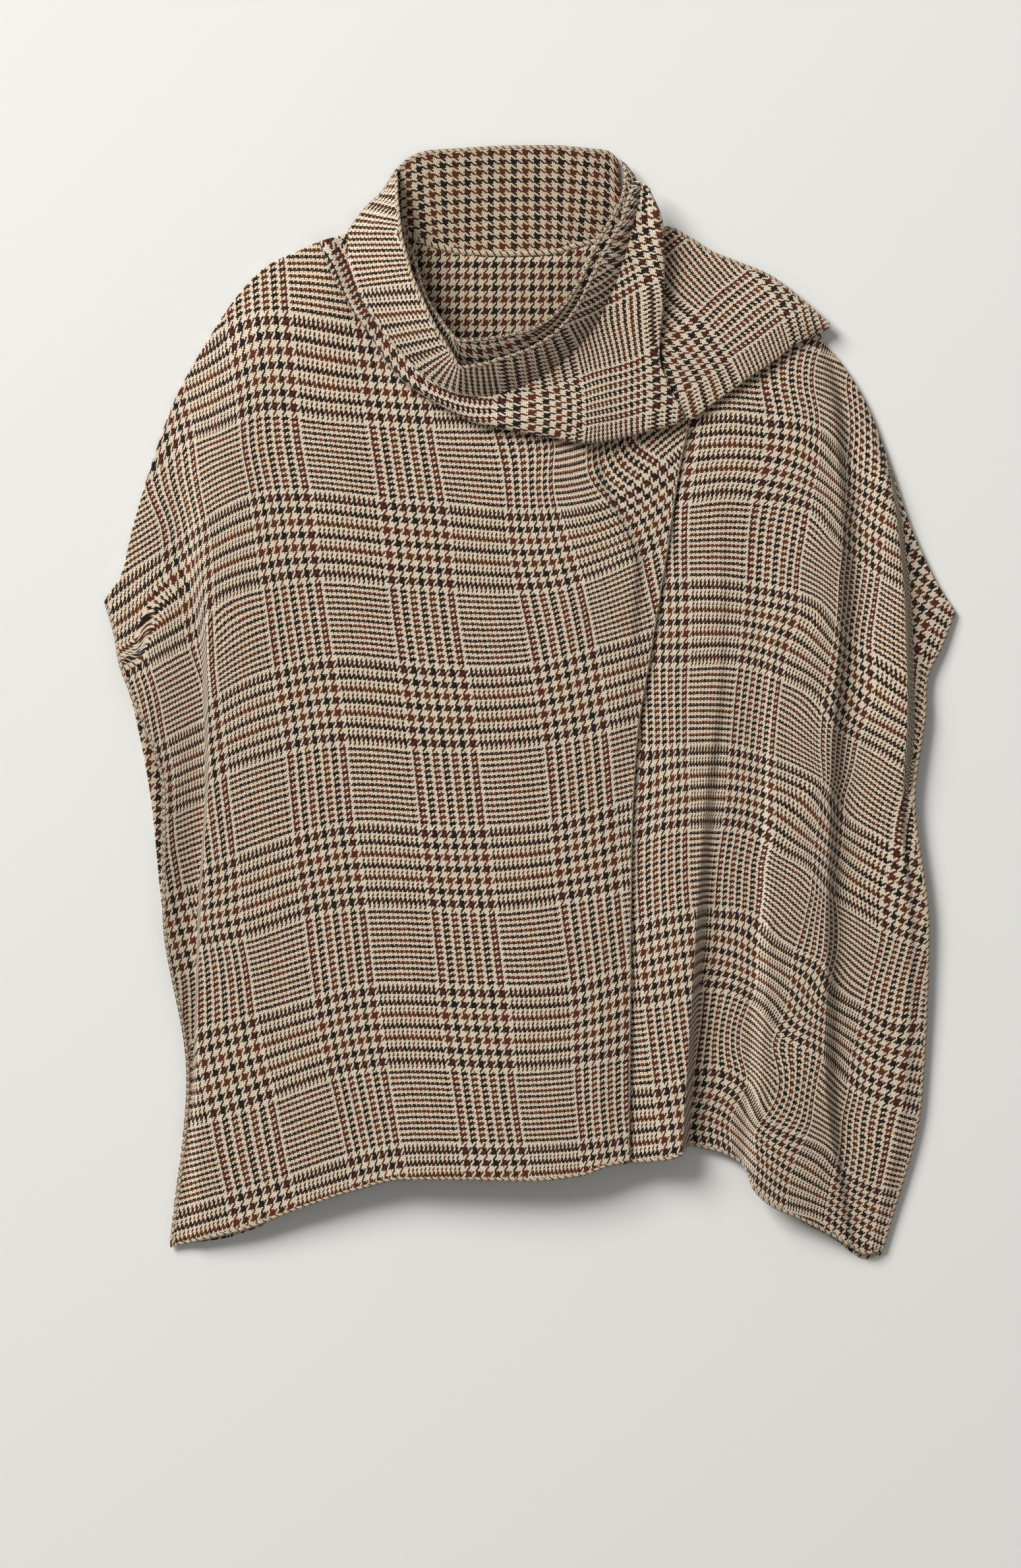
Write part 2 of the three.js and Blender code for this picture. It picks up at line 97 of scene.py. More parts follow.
def addMesh(name, points, faceSets, threads, materials, materialOfFace=None):
    # A mesh from whole arrays: points, sets of faces with as many corners each, and a pair of thread numbers
    # to a point.
    corners = np.concatenate([faces.ravel() for faces in faceSets])
    sides = np.concatenate([np.full(len(faces), faces.shape[1]) for faces in faceSets])
    mesh = bpy.data.meshes.new(name)
    mesh.vertices.add(len(points))
    mesh.vertices.foreach_set("co", points.ravel())
    mesh.loops.add(len(corners))
    mesh.loops.foreach_set("vertex_index", corners)
    mesh.polygons.add(len(sides))
    mesh.polygons.foreach_set("loop_start", np.concatenate([[0], np.cumsum(sides)[:-1]]))
    if materialOfFace is not None:
        mesh.polygons.foreach_set("material_index", materialOfFace)
    mesh.polygons.foreach_set("use_smooth", np.ones(len(sides), bool))
    mesh.uv_layers.new(name="threads").data.foreach_set("uv", threads[corners].ravel())
    for material in materials:
        mesh.materials.append(material)
    mesh.update(calc_edges=True)
    mesh.validate()
    piece = bpy.data.objects.new(name, mesh)
    bpy.context.scene.collection.objects.link(piece)
    return piece


def gridQuads(m, n, start=0):
    # Faces of a grid whose points run down each column in turn, wound to face up.
    corner = start + np.arange(m - 1)[:, None] * n + np.arange(n - 1)[None, :]
    return np.stack([corner, corner + 1, corner + n + 1, corner + n], -1).reshape(-1, 4)


def borderOf(m, n):
    # The grid's border points in one round: down the first column, along the foot, up the last column and
    # back along the top.
    return np.concatenate([
        np.arange(n),
        np.arange(1, m) * n + n - 1,
        (m - 1) * n + np.arange(n - 2, -1, -1),
        np.arange(m - 2, 0, -1) * n,
    ])


def clothWall(name, face, threads, outer, inner):
    # A closed wall: the outer face, an inner face one thickness behind it along the normal, and between their
    # borders a rounded rim that stands half a thickness proud.
    m, n = face.shape[:2]
    normals = faceNormals(face)
    behind = face - cloth * normals
    border = borderOf(m, n)
    row, column = border // n, border % n
    inside = face[np.clip(row, 1, m - 2), np.clip(column, 1, n - 2)]
    away = unit(face[row, column] - inside)
    rim = 0.5 * (face[row, column] + behind[row, column]) + 0.5 * cloth * away
    points = np.concatenate([face.reshape(-1, 3), behind.reshape(-1, 3), rim])
    count = m * n
    after = np.roll(border, -1)
    ring = 2 * count + np.arange(len(border))
    ringAfter = np.roll(ring, -1)
    quads = np.concatenate([
        gridQuads(m, n),
        gridQuads(m, n, count)[:, ::-1],
        np.stack([after, border, ring, ringAfter], -1),
        np.stack([ringAfter, ring, border + count, after + count], -1),
    ])
    threadOf = np.concatenate([threads.reshape(-1, 2), threads.reshape(-1, 2), threads[row, column]])
    faces = (m - 1) * (n - 1)
    materialOfFace = np.zeros(len(quads), int)
    materialOfFace[faces:2 * faces] = 1
    return addMesh(name, points, [quads], threadOf, [outer, inner], materialOfFace)


def lengthsAlong(path):
    # Distance walked along a path up to each of its points.
    return np.concatenate([[0], np.cumsum(np.linalg.norm(np.diff(path, axis=0), axis=1))])


# A turned edge shows this many wefts in one turn round it, and its warps lean by some threads on the way.
# Its oval starts and ends at a share of its full size.
edgeWeave = {"warpPitch": 0.72 * mm, "wefts": 12, "lean": 4}
edgeTip = 0.3


def turnedEdge(name, path, up, size, material):
    # An oval carried along a path: half width across the cloth times cosine, half height along up times sine,
    # both drawn in over the taper at each end, and each end closed.
    around = np.arange(size["sides"]) / size["sides"]
    angle = 2 * np.pi * around - np.pi / 2
    ahead = unit(np.gradient(path, axis=0))
    across = unit(np.cross(ahead, up))
    lift = unit(np.cross(across, ahead))
    walked = lengthsAlong(path)
    toEnd = np.minimum(walked, walked[-1] - walked)
    full = edgeTip + (1 - edgeTip) * ease(toEnd, 0, size["taper"])[:, None, None]
    ring = (
        path[:, None]
        + full * size["halfWidth"] * np.cos(angle)[None, :, None] * across[:, None]
        + full * size["halfHeight"] * np.sin(angle)[None, :, None] * lift[:, None]
    )
    m, n = ring.shape[:2]
    k = np.arange(m - 1)[:, None] * n
    a = np.arange(n)[None, :]
    b = (a + 1) % n
    quads = np.stack([k + a, k + b, k + b + n, k + a + n], -1).reshape(-1, 4)
    caps = np.stack([np.arange(n)[::-1], (m - 1) * n + np.arange(n)])
    warps = walked[:, None] / edgeWeave["warpPitch"] + edgeWeave["lean"] * around
    wefts = np.broadcast_to(edgeWeave["wefts"] * around, warps.shape)
    threads = np.stack([warps, wefts], -1).reshape(-1, 2)
    return addMesh(name, ring.reshape(-1, 3), [quads, caps], threads, [material])


def edgeRun(face, side):
    # A border of a face, the way inward from it over three rows and the cloth's normal along it.
    normals = faceNormals(face)
    return {
        "start": (face[0], face[3] - face[0], normals[0]),
        "end": (face[-1], face[-4] - face[-1], normals[-1]),
        "top": (face[:, 0], face[:, 3] - face[:, 0], normals[:, 0]),
        "foot": (face[:, -1], face[:, -4] - face[:, -1], normals[:, -1]),
    }[side]


# Where the threads run: places traced along single threads on the photograph, each under its thread's number.
# A number that ends in .5 is the middle of a band's first or last stripe, 1.5 and 50.5 and whole repeats on.

threadLines = {}
threadLines["right_front"] = {
    "warps": {
        1.5: [(225, 743), (247, 800), (303, 1490), (309, 1610), (333, 1745), (352, 1828)],
        10: [(309, 1430), (319, 1590)],
        26: [(320, 1338), (323, 1410)],
        50.5: [
            (290, 671), (322, 1010), (333, 1120), (343, 1210), (354, 1310), (376, 1496), (409, 1665),
            (435, 1798),
        ],
        113.5: [(348, 482), (371, 684), (396, 836), (438, 1132), (466, 1382), (498, 1605), (538, 1788)],
        162.5: [(427, 401), (438, 531), (462, 731), (495, 968), (531, 1245), (561, 1479), (606, 1761)],
        225.5: [(545, 506), (573, 706), (600, 930), (638, 1210), (675, 1535), (711, 1782)],
        274.5: [(645, 616), (676, 810), (708, 1062), (737, 1308), (765, 1535), (796, 1775)],
        337.5: [(755, 661), (782, 855), (818, 1034), (849, 1330), (873, 1521), (889, 1775)],
        386.5: [(838, 680), (844, 782), (880, 897), (918, 1129), (939, 1395), (951, 1690)],
        449.5: [(894, 717), (953, 784), (984, 874), (995, 925)],
        498.5: [(956, 672), (992, 700), (1031, 742)],
    },
    "wefts": {
        1.5: [(315, 531), (352, 501), (395, 486), (466, 492), (546, 506)],
        50.5: [(234, 706), (266, 671), (325, 647), (392, 618), (480, 625), (560, 632), (648, 638)],
        113.5: [
            (199, 878), (266, 832), (318, 794), (395, 759), (501, 758), (676, 775), (823, 785), (919, 769),
            (973, 740), (1040, 683),
        ],
        162.5: [
            (210, 1013), (276, 971), (325, 908), (403, 880), (594, 880), (728, 889), (855, 884), (950, 849),
            (1009, 821),
        ],
        225.5: [(360, 1048), (424, 1024), (501, 1008), (660, 1020), (804, 1018), (906, 992), (985, 968)],
        274.5: [(346, 1164), (402, 1143), (483, 1122), (630, 1127), (770, 1126), (870, 1112), (950, 1091)],
        337.5: [(360, 1308), (452, 1276), (546, 1259), (650, 1265), (740, 1265), (875, 1249), (940, 1230)],
        386.5: [(324, 1425), (367, 1417), (466, 1382), (550, 1368), (740, 1373), (852, 1360), (924, 1347)],
        449.5: [(313, 1571), (386, 1552), (462, 1529), (550, 1506), (760, 1508), (869, 1503), (940, 1483)],
        498.5: [(323, 1690), (405, 1663), (502, 1627), (578, 1612), (734, 1615), (906, 1603)],
        561.5: [(352, 1821), (432, 1798), (528, 1765), (604, 1748), (800, 1746), (930, 1734)],
    },
}
# The strip of the right front outside the fold along its side.
threadLines["right_front_side"] = {
    "warps": {
        -70: [(251, 1300), (262, 1370), (282, 1445), (291, 1490), (293, 1560)],
        -61.5: [
            (203, 950), (234, 1050), (245, 1110), (256, 1170), (259, 1250), (267, 1320), (276, 1375),
            (288, 1415), (297, 1445),
        ],
        -51: [(303, 1400)],
        -28: [(312, 1300)],
        -13: [(316, 1200)],
        1.5: [(225, 743), (266, 850), (294, 996), (311, 1050), (317, 1100)],
        50.5: [(290, 671), (298, 750)],
    },
    "wefts": {
        50.5: [(234, 706), (266, 671), (304, 657)],
        113.5: [(199, 878), (238, 850), (266, 832), (301, 797)],
        162.5: [(210, 1013), (255, 985), (294, 964)],
        225.5: [(258, 1128), (297, 1108), (314, 1100)],
        250: [(262, 1180), (297, 1163), (314, 1157)],
        274.5: [(262, 1228), (285, 1217), (312, 1207)],
        337.5: [(260, 1366), (287, 1354), (304, 1350)],
        362: [(275, 1414), (299, 1409)],
        386.5: [(288, 1465), (298, 1462)],
        449.5: [(286, 1592), (300, 1586)],
    },
}
# The left front on the image left of its centre fold.
threadLines["left_front_inside"] = {
    "warps": {
        1.5: [(972, 1237), (970, 1304), (977, 1464), (994, 1623), (1009, 1745)],
        50.5: [(1041, 745), (1038, 845), (1038, 1050), (1041, 1200), (1048, 1434), (1082, 1700)],
        113.5: [(1157, 556), (1144, 778), (1129, 977), (1109, 1176)],
        162.5: [(1245, 513), (1224, 758), (1192, 971)],
    },
    "wefts": {
        1.5: [(1052, 642), (1100, 636), (1168, 643), (1223, 650)],
        50.5: [(1050, 753), (1100, 746), (1162, 753), (1211, 762)],
        113.5: [(1040, 889), (1100, 889), (1150, 897)],
        162.5: [(1040, 1000), (1100, 997), (1150, 1006)],
        225.5: [(973, 1161), (1003, 1147), (1050, 1141), (1099, 1140)],
        274.5: [(979, 1263), (1002, 1255), (1050, 1248)],
        337.5: [(963, 1412), (1010, 1398), (1034, 1394)],
        386.5: [(963, 1519), (995, 1516), (1024, 1508)],
        449.5: [(963, 1661), (997, 1659), (1025, 1653)],
        498.5: [(980, 1771), (1025, 1764)],
    },
}
# The left front from its centre fold to the wrist fold and, below that, to the side.
threadLines["left_front"] = {
    "warps": {
        1.5: [(972, 1210)],
        50.5: [(1041, 745), (1038, 845), (1038, 1050), (1041, 1200)],
        95: [(1080, 1250), (1060, 1450), (1046, 1545), (1034, 1650)],
        113.5: [
            (1157, 556), (1144, 778), (1129, 977), (1109, 1176), (1089, 1352), (1072, 1504), (1057, 1623),
            (1040, 1700),
        ],
        162.5: [
            (1245, 513), (1240, 629), (1219, 795), (1192, 971), (1170, 1149), (1155, 1312), (1143, 1500),
            (1131, 1640), (1108, 1747),
        ],
        194: [(1267, 700), (1260, 800), (1246, 950), (1212, 1200)],
        214: [(1276, 700), (1272, 800), (1263, 950), (1244, 1200)],
        225.5: [
            (1287, 579), (1290, 709), (1281, 800), (1275, 878), (1268, 950), (1247, 1235), (1236, 1318),
            (1207, 1451), (1173, 1589), (1146, 1724),
        ],
        250: [(1317, 657), (1314, 718), (1258, 1210), (1252, 1350), (1242, 1450), (1221, 1550)],
        274.5: [
            (1355, 712), (1335, 855), (1318, 977), (1298, 1129), (1276, 1254), (1260, 1347), (1251, 1500),
            (1244, 1606), (1227, 1707), (1190, 1809),
        ],
        302: [(1366, 850), (1364, 950), (1366, 1040)],
        337.5: [
            (1379, 1197), (1360, 1310), (1344, 1393), (1320, 1498), (1295, 1606), (1280, 1700),
            (1276, 1758),
        ],
        386.5: [(1398, 1477), (1385, 1565), (1364, 1663), (1344, 1748), (1320, 1863)],
    },
    "wefts": {
        1.5: [(1052, 642), (1100, 636), (1168, 643), (1223, 650), (1245, 661), (1292, 717), (1349, 750)],
        50.5: [
            (1050, 753), (1100, 746), (1162, 753), (1211, 762), (1240, 775), (1259, 798), (1280, 824),
            (1332, 863),
        ],
        113.5: [
            (1040, 889), (1100, 889), (1150, 897), (1203, 907), (1238, 920), (1260, 947), (1286, 980),
            (1330, 1005), (1365, 1030),
        ],
        162.5: [
            (1040, 1000), (1100, 997), (1150, 1006), (1195, 1025), (1234, 1046), (1255, 1072), (1270, 1098),
            (1340, 1138), (1368, 1156),
        ],
        225.5: [
            (1050, 1141), (1099, 1140), (1151, 1152), (1203, 1171), (1242, 1191), (1283, 1249),
            (1321, 1272), (1377, 1304),
        ],
        274.5: [
            (1050, 1248), (1090, 1247), (1141, 1256), (1190, 1289), (1230, 1312), (1267, 1356),
            (1308, 1381), (1355, 1410),
        ],
        337.5: [
            (1063, 1386), (1102, 1389), (1143, 1397), (1167, 1427), (1206, 1451), (1243, 1470),
            (1258, 1503), (1311, 1536), (1362, 1562), (1397, 1559),
        ],
        386.5: [
            (1063, 1493), (1112, 1499), (1134, 1510), (1158, 1525), (1191, 1567), (1239, 1590),
            (1265, 1611), (1299, 1646), (1350, 1670), (1387, 1681),
        ],
        449.5: [
            (1049, 1628), (1093, 1630), (1130, 1650), (1154, 1702), (1204, 1728), (1250, 1750),
            (1279, 1783), (1329, 1809), (1352, 1814),
        ],
        498.5: [(1050, 1728), (1103, 1741), (1185, 1822), (1250, 1845), (1300, 1885), (1333, 1902)],
    },
}
# The fold that rolls over below the collar's band, all the way round.
threadLines["collar_roll"] = {
    "warps": {
        -102: [(965, 360), (993, 345)],
        -86: [(960, 392), (1008, 371)],
        -70: [(961, 421), (989, 405)],
        -61.5: [(931, 455), (961, 438), (985, 424)],
        1.5: [
            (515, 385), (532, 425), (548, 465), (570, 500), (595, 535), (625, 568), (660, 590), (700, 604),
            (770, 609), (806, 604), (850, 592), (901, 569), (957, 554), (990, 538), (1005, 525),
        ],
        12: [(490, 395), (528, 476), (583, 545)],
        20: [(650, 618), (700, 638)],
        50.5: [(880, 645), (930, 635), (980, 621), (1013, 611)],
    },
    "wefts": {
        50.5: [(960, 345), (975, 400), (988, 445), (990, 500), (994, 553), (997, 600)],
        81: [(912, 490), (926, 545), (927, 600), (929, 650)],
        112: [(868, 540), (881, 600), (882, 645)],
        138: [(828, 600), (830, 640)],
        164: [(757, 612), (757, 650)],
        204: [(680, 598), (672, 625)],
        246: [(605, 545), (588, 562)],
        268: [(575, 505), (553, 518)],
        290: [(550, 465), (527, 476)],
        310: [(530, 425), (508, 434)],
        329: [(512, 385), (490, 393)],
    },
}
# The collar's loose end, over the shoulder.
threadLines["scarf_end"] = {
    "warps": {
        -61.5: [(1018, 374), (1032, 363)],
        1.5: [(1005, 525), (1028, 509), (1054, 485), (1084, 455), (1109, 435), (1144, 408)],
        26: [(1043, 551), (1077, 517), (1109, 489), (1134, 467), (1175, 437)],
        50.5: [
            (1013, 611), (1057, 575), (1085, 557), (1112, 535), (1142, 514), (1173, 490), (1193, 475),
            (1218, 455),
        ],
    },
    "wefts": {
        -94: [(1245, 482)],
        -70: [(1192, 438), (1200, 450), (1206, 463)],
        -61.5: [(1163, 424), (1176, 437), (1188, 462), (1193, 474)],
        -30: [(1108, 455), (1147, 511)],
        1.5: [(1023, 458), (1045, 476), (1063, 494), (1077, 517), (1092, 537)],
        26: [(1012, 517), (1024, 528), (1043, 551), (1058, 570)],
        50.5: [(994, 553), (997, 600)],
    },
}
# The left front beyond its wrist fold.
threadLines["left_front_wrist"] = {
    "warps": {
        346: [(1380, 827)],
        362: [(1382, 894)],
        386.5: [(1424, 904), (1404, 951), (1389, 997), (1384, 1040)],
    },
    "wefts": {
        1.5: [(1390, 842), (1420, 868)],
        50.5: [(1392, 985), (1425, 1005)],
    },
}


def threadNumbers(lines, face):
    # Thread numbers over a face: for warps and for wefts the flattest sheet through the traced points, which
    # is a plane plus a weight for each point times r^2 log r, with a little slack for the eye's error.
    slack = 2e-4
    span = 0.5  # metres that count as one in the formula
    found = []
    places = face[..., :2].reshape(-1, 2) / span
    for way in ("warps", "wefts"):
        known = np.array([(*placeOf(at) / span, thread) for thread, row in lines[way].items() for at in row])
        gap = np.linalg.norm(known[:, None, :2] - known[None, :, :2], axis=-1)
        bend = np.where(gap > 0, gap ** 2 * np.log(np.maximum(gap, 1e-9)), 0) + slack * np.eye(len(known))
        plane = np.column_stack([np.ones(len(known)), known[:, :2]])
        system = np.block([[bend, plane], [plane.T, np.zeros((3, 3))]])
        weights = np.linalg.lstsq(system, np.concatenate([known[:, 2], np.zeros(3)]), rcond=None)[0]
        far = np.linalg.norm(places[:, None] - known[None, :, :2], axis=-1)
        sheet = np.where(far > 0, far ** 2 * np.log(np.maximum(far, 1e-9)), 0) @ weights[:-3]
        found.append(sheet + weights[-3] + places @ weights[-2:])
    return np.stack(found, -1).reshape(*face.shape[:2], 2)


def ribbonThreads(face, firstWarp, firstWeft):
    # Thread numbers of a ribbon cut along the warp: first warp plus the distance across over the warp's
    # spacing, first weft less the distance along its middle over the weft's.
    steps = np.linalg.norm(np.diff(face, axis=1), axis=-1)
    across = np.concatenate([np.zeros((len(face), 1)), np.cumsum(steps, axis=1)], axis=1)
    along = np.broadcast_to(lengthsAlong(face[:, face.shape[1] // 2])[:, None], across.shape)
    return np.stack([firstWarp + across / weave["warpPitch"], firstWeft - along / weave["weftPitch"]], -1)


# Materials.


def linear(hexColour):
    # An sRGB colour's red, green and blue as linear light: over 0.04045, ((c + 0.055) / 1.055) to the 2.4.
    parts = np.array([int(hexColour[k:k + 2], 16) / 255 for k in (0, 2, 4)])
    light = np.where(parts > 0.04045, ((parts + 0.055) / 1.055) ** 2.4, parts / 12.92)
    return (*light.tolist(), 1)


def addNode(tree, kind, inputs=None, **settings):
    # Adds a node with its settings, and sets or links its inputs.
    made = tree.nodes.new(kind)
    for name, value in settings.items():
        setattr(made, name, value)
    for key, value in (inputs or {}).items():
        if isinstance(value, bpy.types.NodeSocket):
            tree.links.new(value, made.inputs[key])
        else:
            made.inputs[key].default_value = value
    return made


def workOut(tree, values, steps, kind="ShaderNodeMath"):
    # Adds a node for each named step of a sum, on numbers or on vectors, and keeps its result by that name.
    for name, operation, *terms in steps:
        inputs = {k: values.get(term, term) for k, term in enumerate(terms)}
        values[name] = addNode(tree, kind, inputs, operation=operation).outputs[0]


yarns = {"cream": "F7E7CF", "black": "1D1510", "brown": "673519", "rust": "612A1E"}


def stripeRamp(tree, position, stripes, length, spread):
    # A colour ramp with hard stops over a length in threads. Each stripe is its first thread, its width and
    # its yarn. It spreads a little into the cream beside it and meets a neighbouring stripe without a gap.
    ramp = addNode(tree, "ShaderNodeValToRGB", {"Fac": position})
    stops = {0: "cream"}
    before = [None] + [first + width for first, width, yarn in stripes]
    after = [first for first, width, yarn in stripes[1:]] + [None]
    for (first, width, yarn), last, following in zip(stripes, before, after):
        end = first + width
        stops[first if first == last else max(first - spread, 0)] = yarn
        if following != end:
            stops[min(end + spread, length)] = "cream"
    elements = ramp.color_ramp.elements
    ramp.color_ramp.interpolation = "CONSTANT"
    elements.remove(elements[-1])
    elements[0].color = linear(yarns[stops.pop(0)])
    for place in sorted(stops):
        elements.new(place / length).color = linear(yarns[stops[place]])
    return ramp.outputs["Color"]


# The check, in threads: a band of seven stripes, the first and the last a thread wider, then thirteen fine
# ones. The first thread of a band's first stripe lies at the end of the fine stripes before it.
check = {
    "bandEnd": 54,
    "bandStep": 8,
    "bandWidth": 4,
    "fineLength": 58,
    "fineStart": 3,
    "fineStep": 4,
    "fineWidth": 2,
    "bandSpread": 0.1,
    "fineSpread": 0.04,
    "warpBand": ["rust", "black", "brown", "black", "brown", "black", "rust"],
    "weftBand": ["black", "black", "brown", "black", "brown", "black", "rust"],
    "warpFirst": [(0, 4, "rust")],
    "warpLast": [(48, 5, "rust")],
    "weftFirst": [(0, 1, "black"), (1, 1, "rust"), (2, 2, "black")],
    "weftLast": [(48, 2, "black"), (50, 1, "rust"), (51, 2, "black")],
    "warpFine": "black brown black brown black brown brown brown black brown black brown black".split(),
    "weftFine": "black brown black brown black brown black brown black brown black brown black".split(),
}

houndstooth = {"repeat": 16, "stripes": [(0, 4, "black"), (8, 4, "brown")]}

# A warp and a weft cross in steps of four threads, and the warp is on top for the first two of them.
twill = {"step": 4, "shift": 1, "warpOnTop": 1.5}

# The wool. Each grain is its size in metres and its detail: slack yarns, fuzz, fibres and drift of the dye.
# The shades are a factor and a base each. The inner face's base is the lower one, and that darkening is
# painted shade.
wool = {
    "grain": {
        "slack": (6.25 * mm, 1), "fuzz": (0.6667 * mm, 1),
        "fibre": (0.7143 * mm, 2), "drift": (28.57 * mm, 3),
    },
    "wander": 0.8,
    "floatLift": (0.5, 0.5),
    "ridgeShade": (0.72, 0.38),
    "fibreShade": (0.3, 0.85),
    "toneShade": (0.2, 0.9),
    "driftShade": 0.1,
    "faceToneAndPaintedShade": {"check": 0.95, "houndstooth": 0.74},
    "fibreLift": 0.35,
    "paintedShadeWarmth": (0.85, 1, 1.2),
    "bump": 0.6,
    "roughness": 0.92,
    "specular": 0.2,
    "sheen": 0.18,
    "sheenRoughness": 0.5,
}


def checkColour(tree, values, way, number):
    # The yarn's colour by its number in the repeat: past the band's end it is read from the fine stripes.
    workOut(tree, values, [
        ("place", "FLOORED_MODULO", number, weave["repeat"]),
        ("band", "DIVIDE", "place", check["bandEnd"]),
        ("past", "SUBTRACT", "place", check["bandEnd"]),
        ("fine", "DIVIDE", "past", check["fineLength"]),
        ("inFine", "GREATER_THAN", "place", check["bandEnd"]),
    ])
    band = [(check["bandStep"] * k, check["bandWidth"], yarn) for k, yarn in enumerate(check[way + "Band"])]
    band[:1], band[-1:] = check[way + "First"], check[way + "Last"]
    fine = [
        (check["fineStart"] + check["fineStep"] * k, check["fineWidth"], yarn)
        for k, yarn in enumerate(check[way + "Fine"])
    ]
    fine.append((check["fineLength"] - 1, 1, check[way + "Band"][0]))
    bandColour = stripeRamp(tree, values["band"], band, check["bandEnd"], check["bandSpread"])
    fineColour = stripeRamp(tree, values["fine"], fine, check["fineLength"], check["fineSpread"])
    inputs = {0: values["inFine"], 6: bandColour, 7: fineColour}
    return addNode(tree, "ShaderNodeMix", inputs, data_type="RGBA").outputs[2]


def houndstoothColour(tree, values, way, number):
    # The same stripes both ways, which the twill makes houndstooth.
    workOut(tree, values, [
        ("place", "FLOORED_MODULO", number, houndstooth["repeat"]),
        ("band", "DIVIDE", "place", houndstooth["repeat"]),
    ])
    stripes, length = houndstooth["stripes"], houndstooth["repeat"]
    return stripeRamp(tree, values["band"], stripes, length, check["bandSpread"])


def woolMaterial(name, faceToneAndPaintedShade, colourOf):
    # Woven wool twill: matt and slightly hairy, each yarn a soft ridge that passes over two and under two.
    # It gives the eye hard little steps between colours, a dull bloom at grazing light and no gloss.
    material = bpy.data.materials.new(name)
    material.use_nodes = True
    tree = material.node_tree
    tree.nodes.clear()
    place = addNode(tree, "ShaderNodeTexCoord").outputs["Object"]
    grain = {
        kind: addNode(
            tree, "ShaderNodeTexNoise", {"Vector": place, "Scale": 1 / size, "Detail": detail}
        ).outputs
        for kind, (size, detail) in wool["grain"].items()
    }
    values = {
        "threads": addNode(tree, "ShaderNodeUVMap", uv_map="threads").outputs[0],
        "slack": grain["slack"]["Color"], "fuzz": grain["fuzz"]["Color"],
        "fibre": grain["fibre"]["Fac"], "drift": grain["drift"]["Fac"],
    }
    # Slack and fuzz slide the threads by up to half the wander either way.
    reach = (wool["wander"], wool["wander"], 0)
    middle = (-0.5 * wool["wander"], -0.5 * wool["wander"], 0)
    workOut(tree, values, [
        ("slackSlide", "MULTIPLY_ADD", "slack", reach, middle),
        ("slackThreads", "ADD", "threads", "slackSlide"),
        ("fuzzSlide", "MULTIPLY_ADD", "fuzz", reach, middle),
        ("slidThreads", "ADD", "slackThreads", "fuzzSlide"),
    ], "ShaderNodeVectorMath")
    split = addNode(tree, "ShaderNodeSeparateXYZ", {0: values["slidThreads"]})
    values["u"], values["v"] = split.outputs[0], split.outputs[1]
    workOut(tree, values, [
        ("warpThread", "FLOOR", "u"),
        ("weftThread", "FLOOR", "v"),
        ("bothThreads", "ADD", "warpThread", "weftThread"),
        ("diagonal", "ADD", "bothThreads", twill["shift"]),
        ("diagonalStep", "FLOORED_MODULO", "diagonal", twill["step"]),
        ("warpOnTop", "LESS_THAN", "diagonalStep", twill["warpOnTop"]),
        ("acrossWarp", "FRACT", "u"),
        ("acrossWeft", "FRACT", "v"),
        ("warpTurn", "MULTIPLY", "acrossWarp", np.pi),
        ("weftTurn", "MULTIPLY", "acrossWeft", np.pi),
        ("warpRidge", "SINE", "warpTurn"),
        ("weftRidge", "SINE", "weftTurn"),
        ("warpFloat", "ADD", "diagonalStep", "acrossWeft"),
        ("weftStep", "SUBTRACT", "diagonalStep", twill["step"] / 2),
        ("weftFloat", "ADD", "weftStep", "acrossWarp"),
    ])
    # What lies on top at a crossing gives the colour, the ridge and the place along the float.
    onTop = values["warpOnTop"]
    inputs = {0: onTop, 6: colourOf(tree, values, "weft", "v"), 7: colourOf(tree, values, "warp", "u")}
    values["yarn"] = addNode(tree, "ShaderNodeMix", inputs, data_type="RGBA").outputs[2]
    for what in ("Ridge", "Float"):
        inputs = {0: onTop, 2: values["weft" + what], 3: values["warp" + what]}
        values["top" + what] = addNode(tree, "ShaderNodeMix", inputs).outputs[0]
    numbers = addNode(tree, "ShaderNodeCombineXYZ", {0: values["warpThread"], 1: values["weftThread"]})
    tone = addNode(tree, "ShaderNodeTexWhiteNoise", {"Vector": numbers.outputs[0]}, noise_dimensions="2D")
    values["tone"] = tone.outputs["Value"]
    workOut(tree, values, [
        ("floatTurn", "MULTIPLY", "topFloat", np.pi / 2),
        ("floatArch", "SINE", "floatTurn"),
        ("floatLift", "MULTIPLY_ADD", "floatArch", *wool["floatLift"]),
        ("yarnHeight", "MULTIPLY", "topRidge", "floatLift"),
        # Darker in the gaps between threads and at the ends of floats: painted shade between the yarns, while
        # the same height also drives the bump.
        ("ridgeShade", "MULTIPLY_ADD", "yarnHeight", *wool["ridgeShade"]),
        ("fibreShade", "MULTIPLY_ADD", "fibre", *wool["fibreShade"]),
        ("driftShade", "MULTIPLY_ADD", "drift", wool["driftShade"], faceToneAndPaintedShade),
        ("toneShade", "MULTIPLY_ADD", "tone", *wool["toneShade"]),
        ("shadeA", "MULTIPLY", "ridgeShade", "fibreShade"),
        ("shadeB", "MULTIPLY", "shadeA", "toneShade"),
        ("shade", "MULTIPLY", "shadeB", "driftShade"),
        ("fibreLift", "MULTIPLY", "fibre", wool["fibreLift"]),
        ("height", "ADD", "yarnHeight", "fibreLift"),
    ])
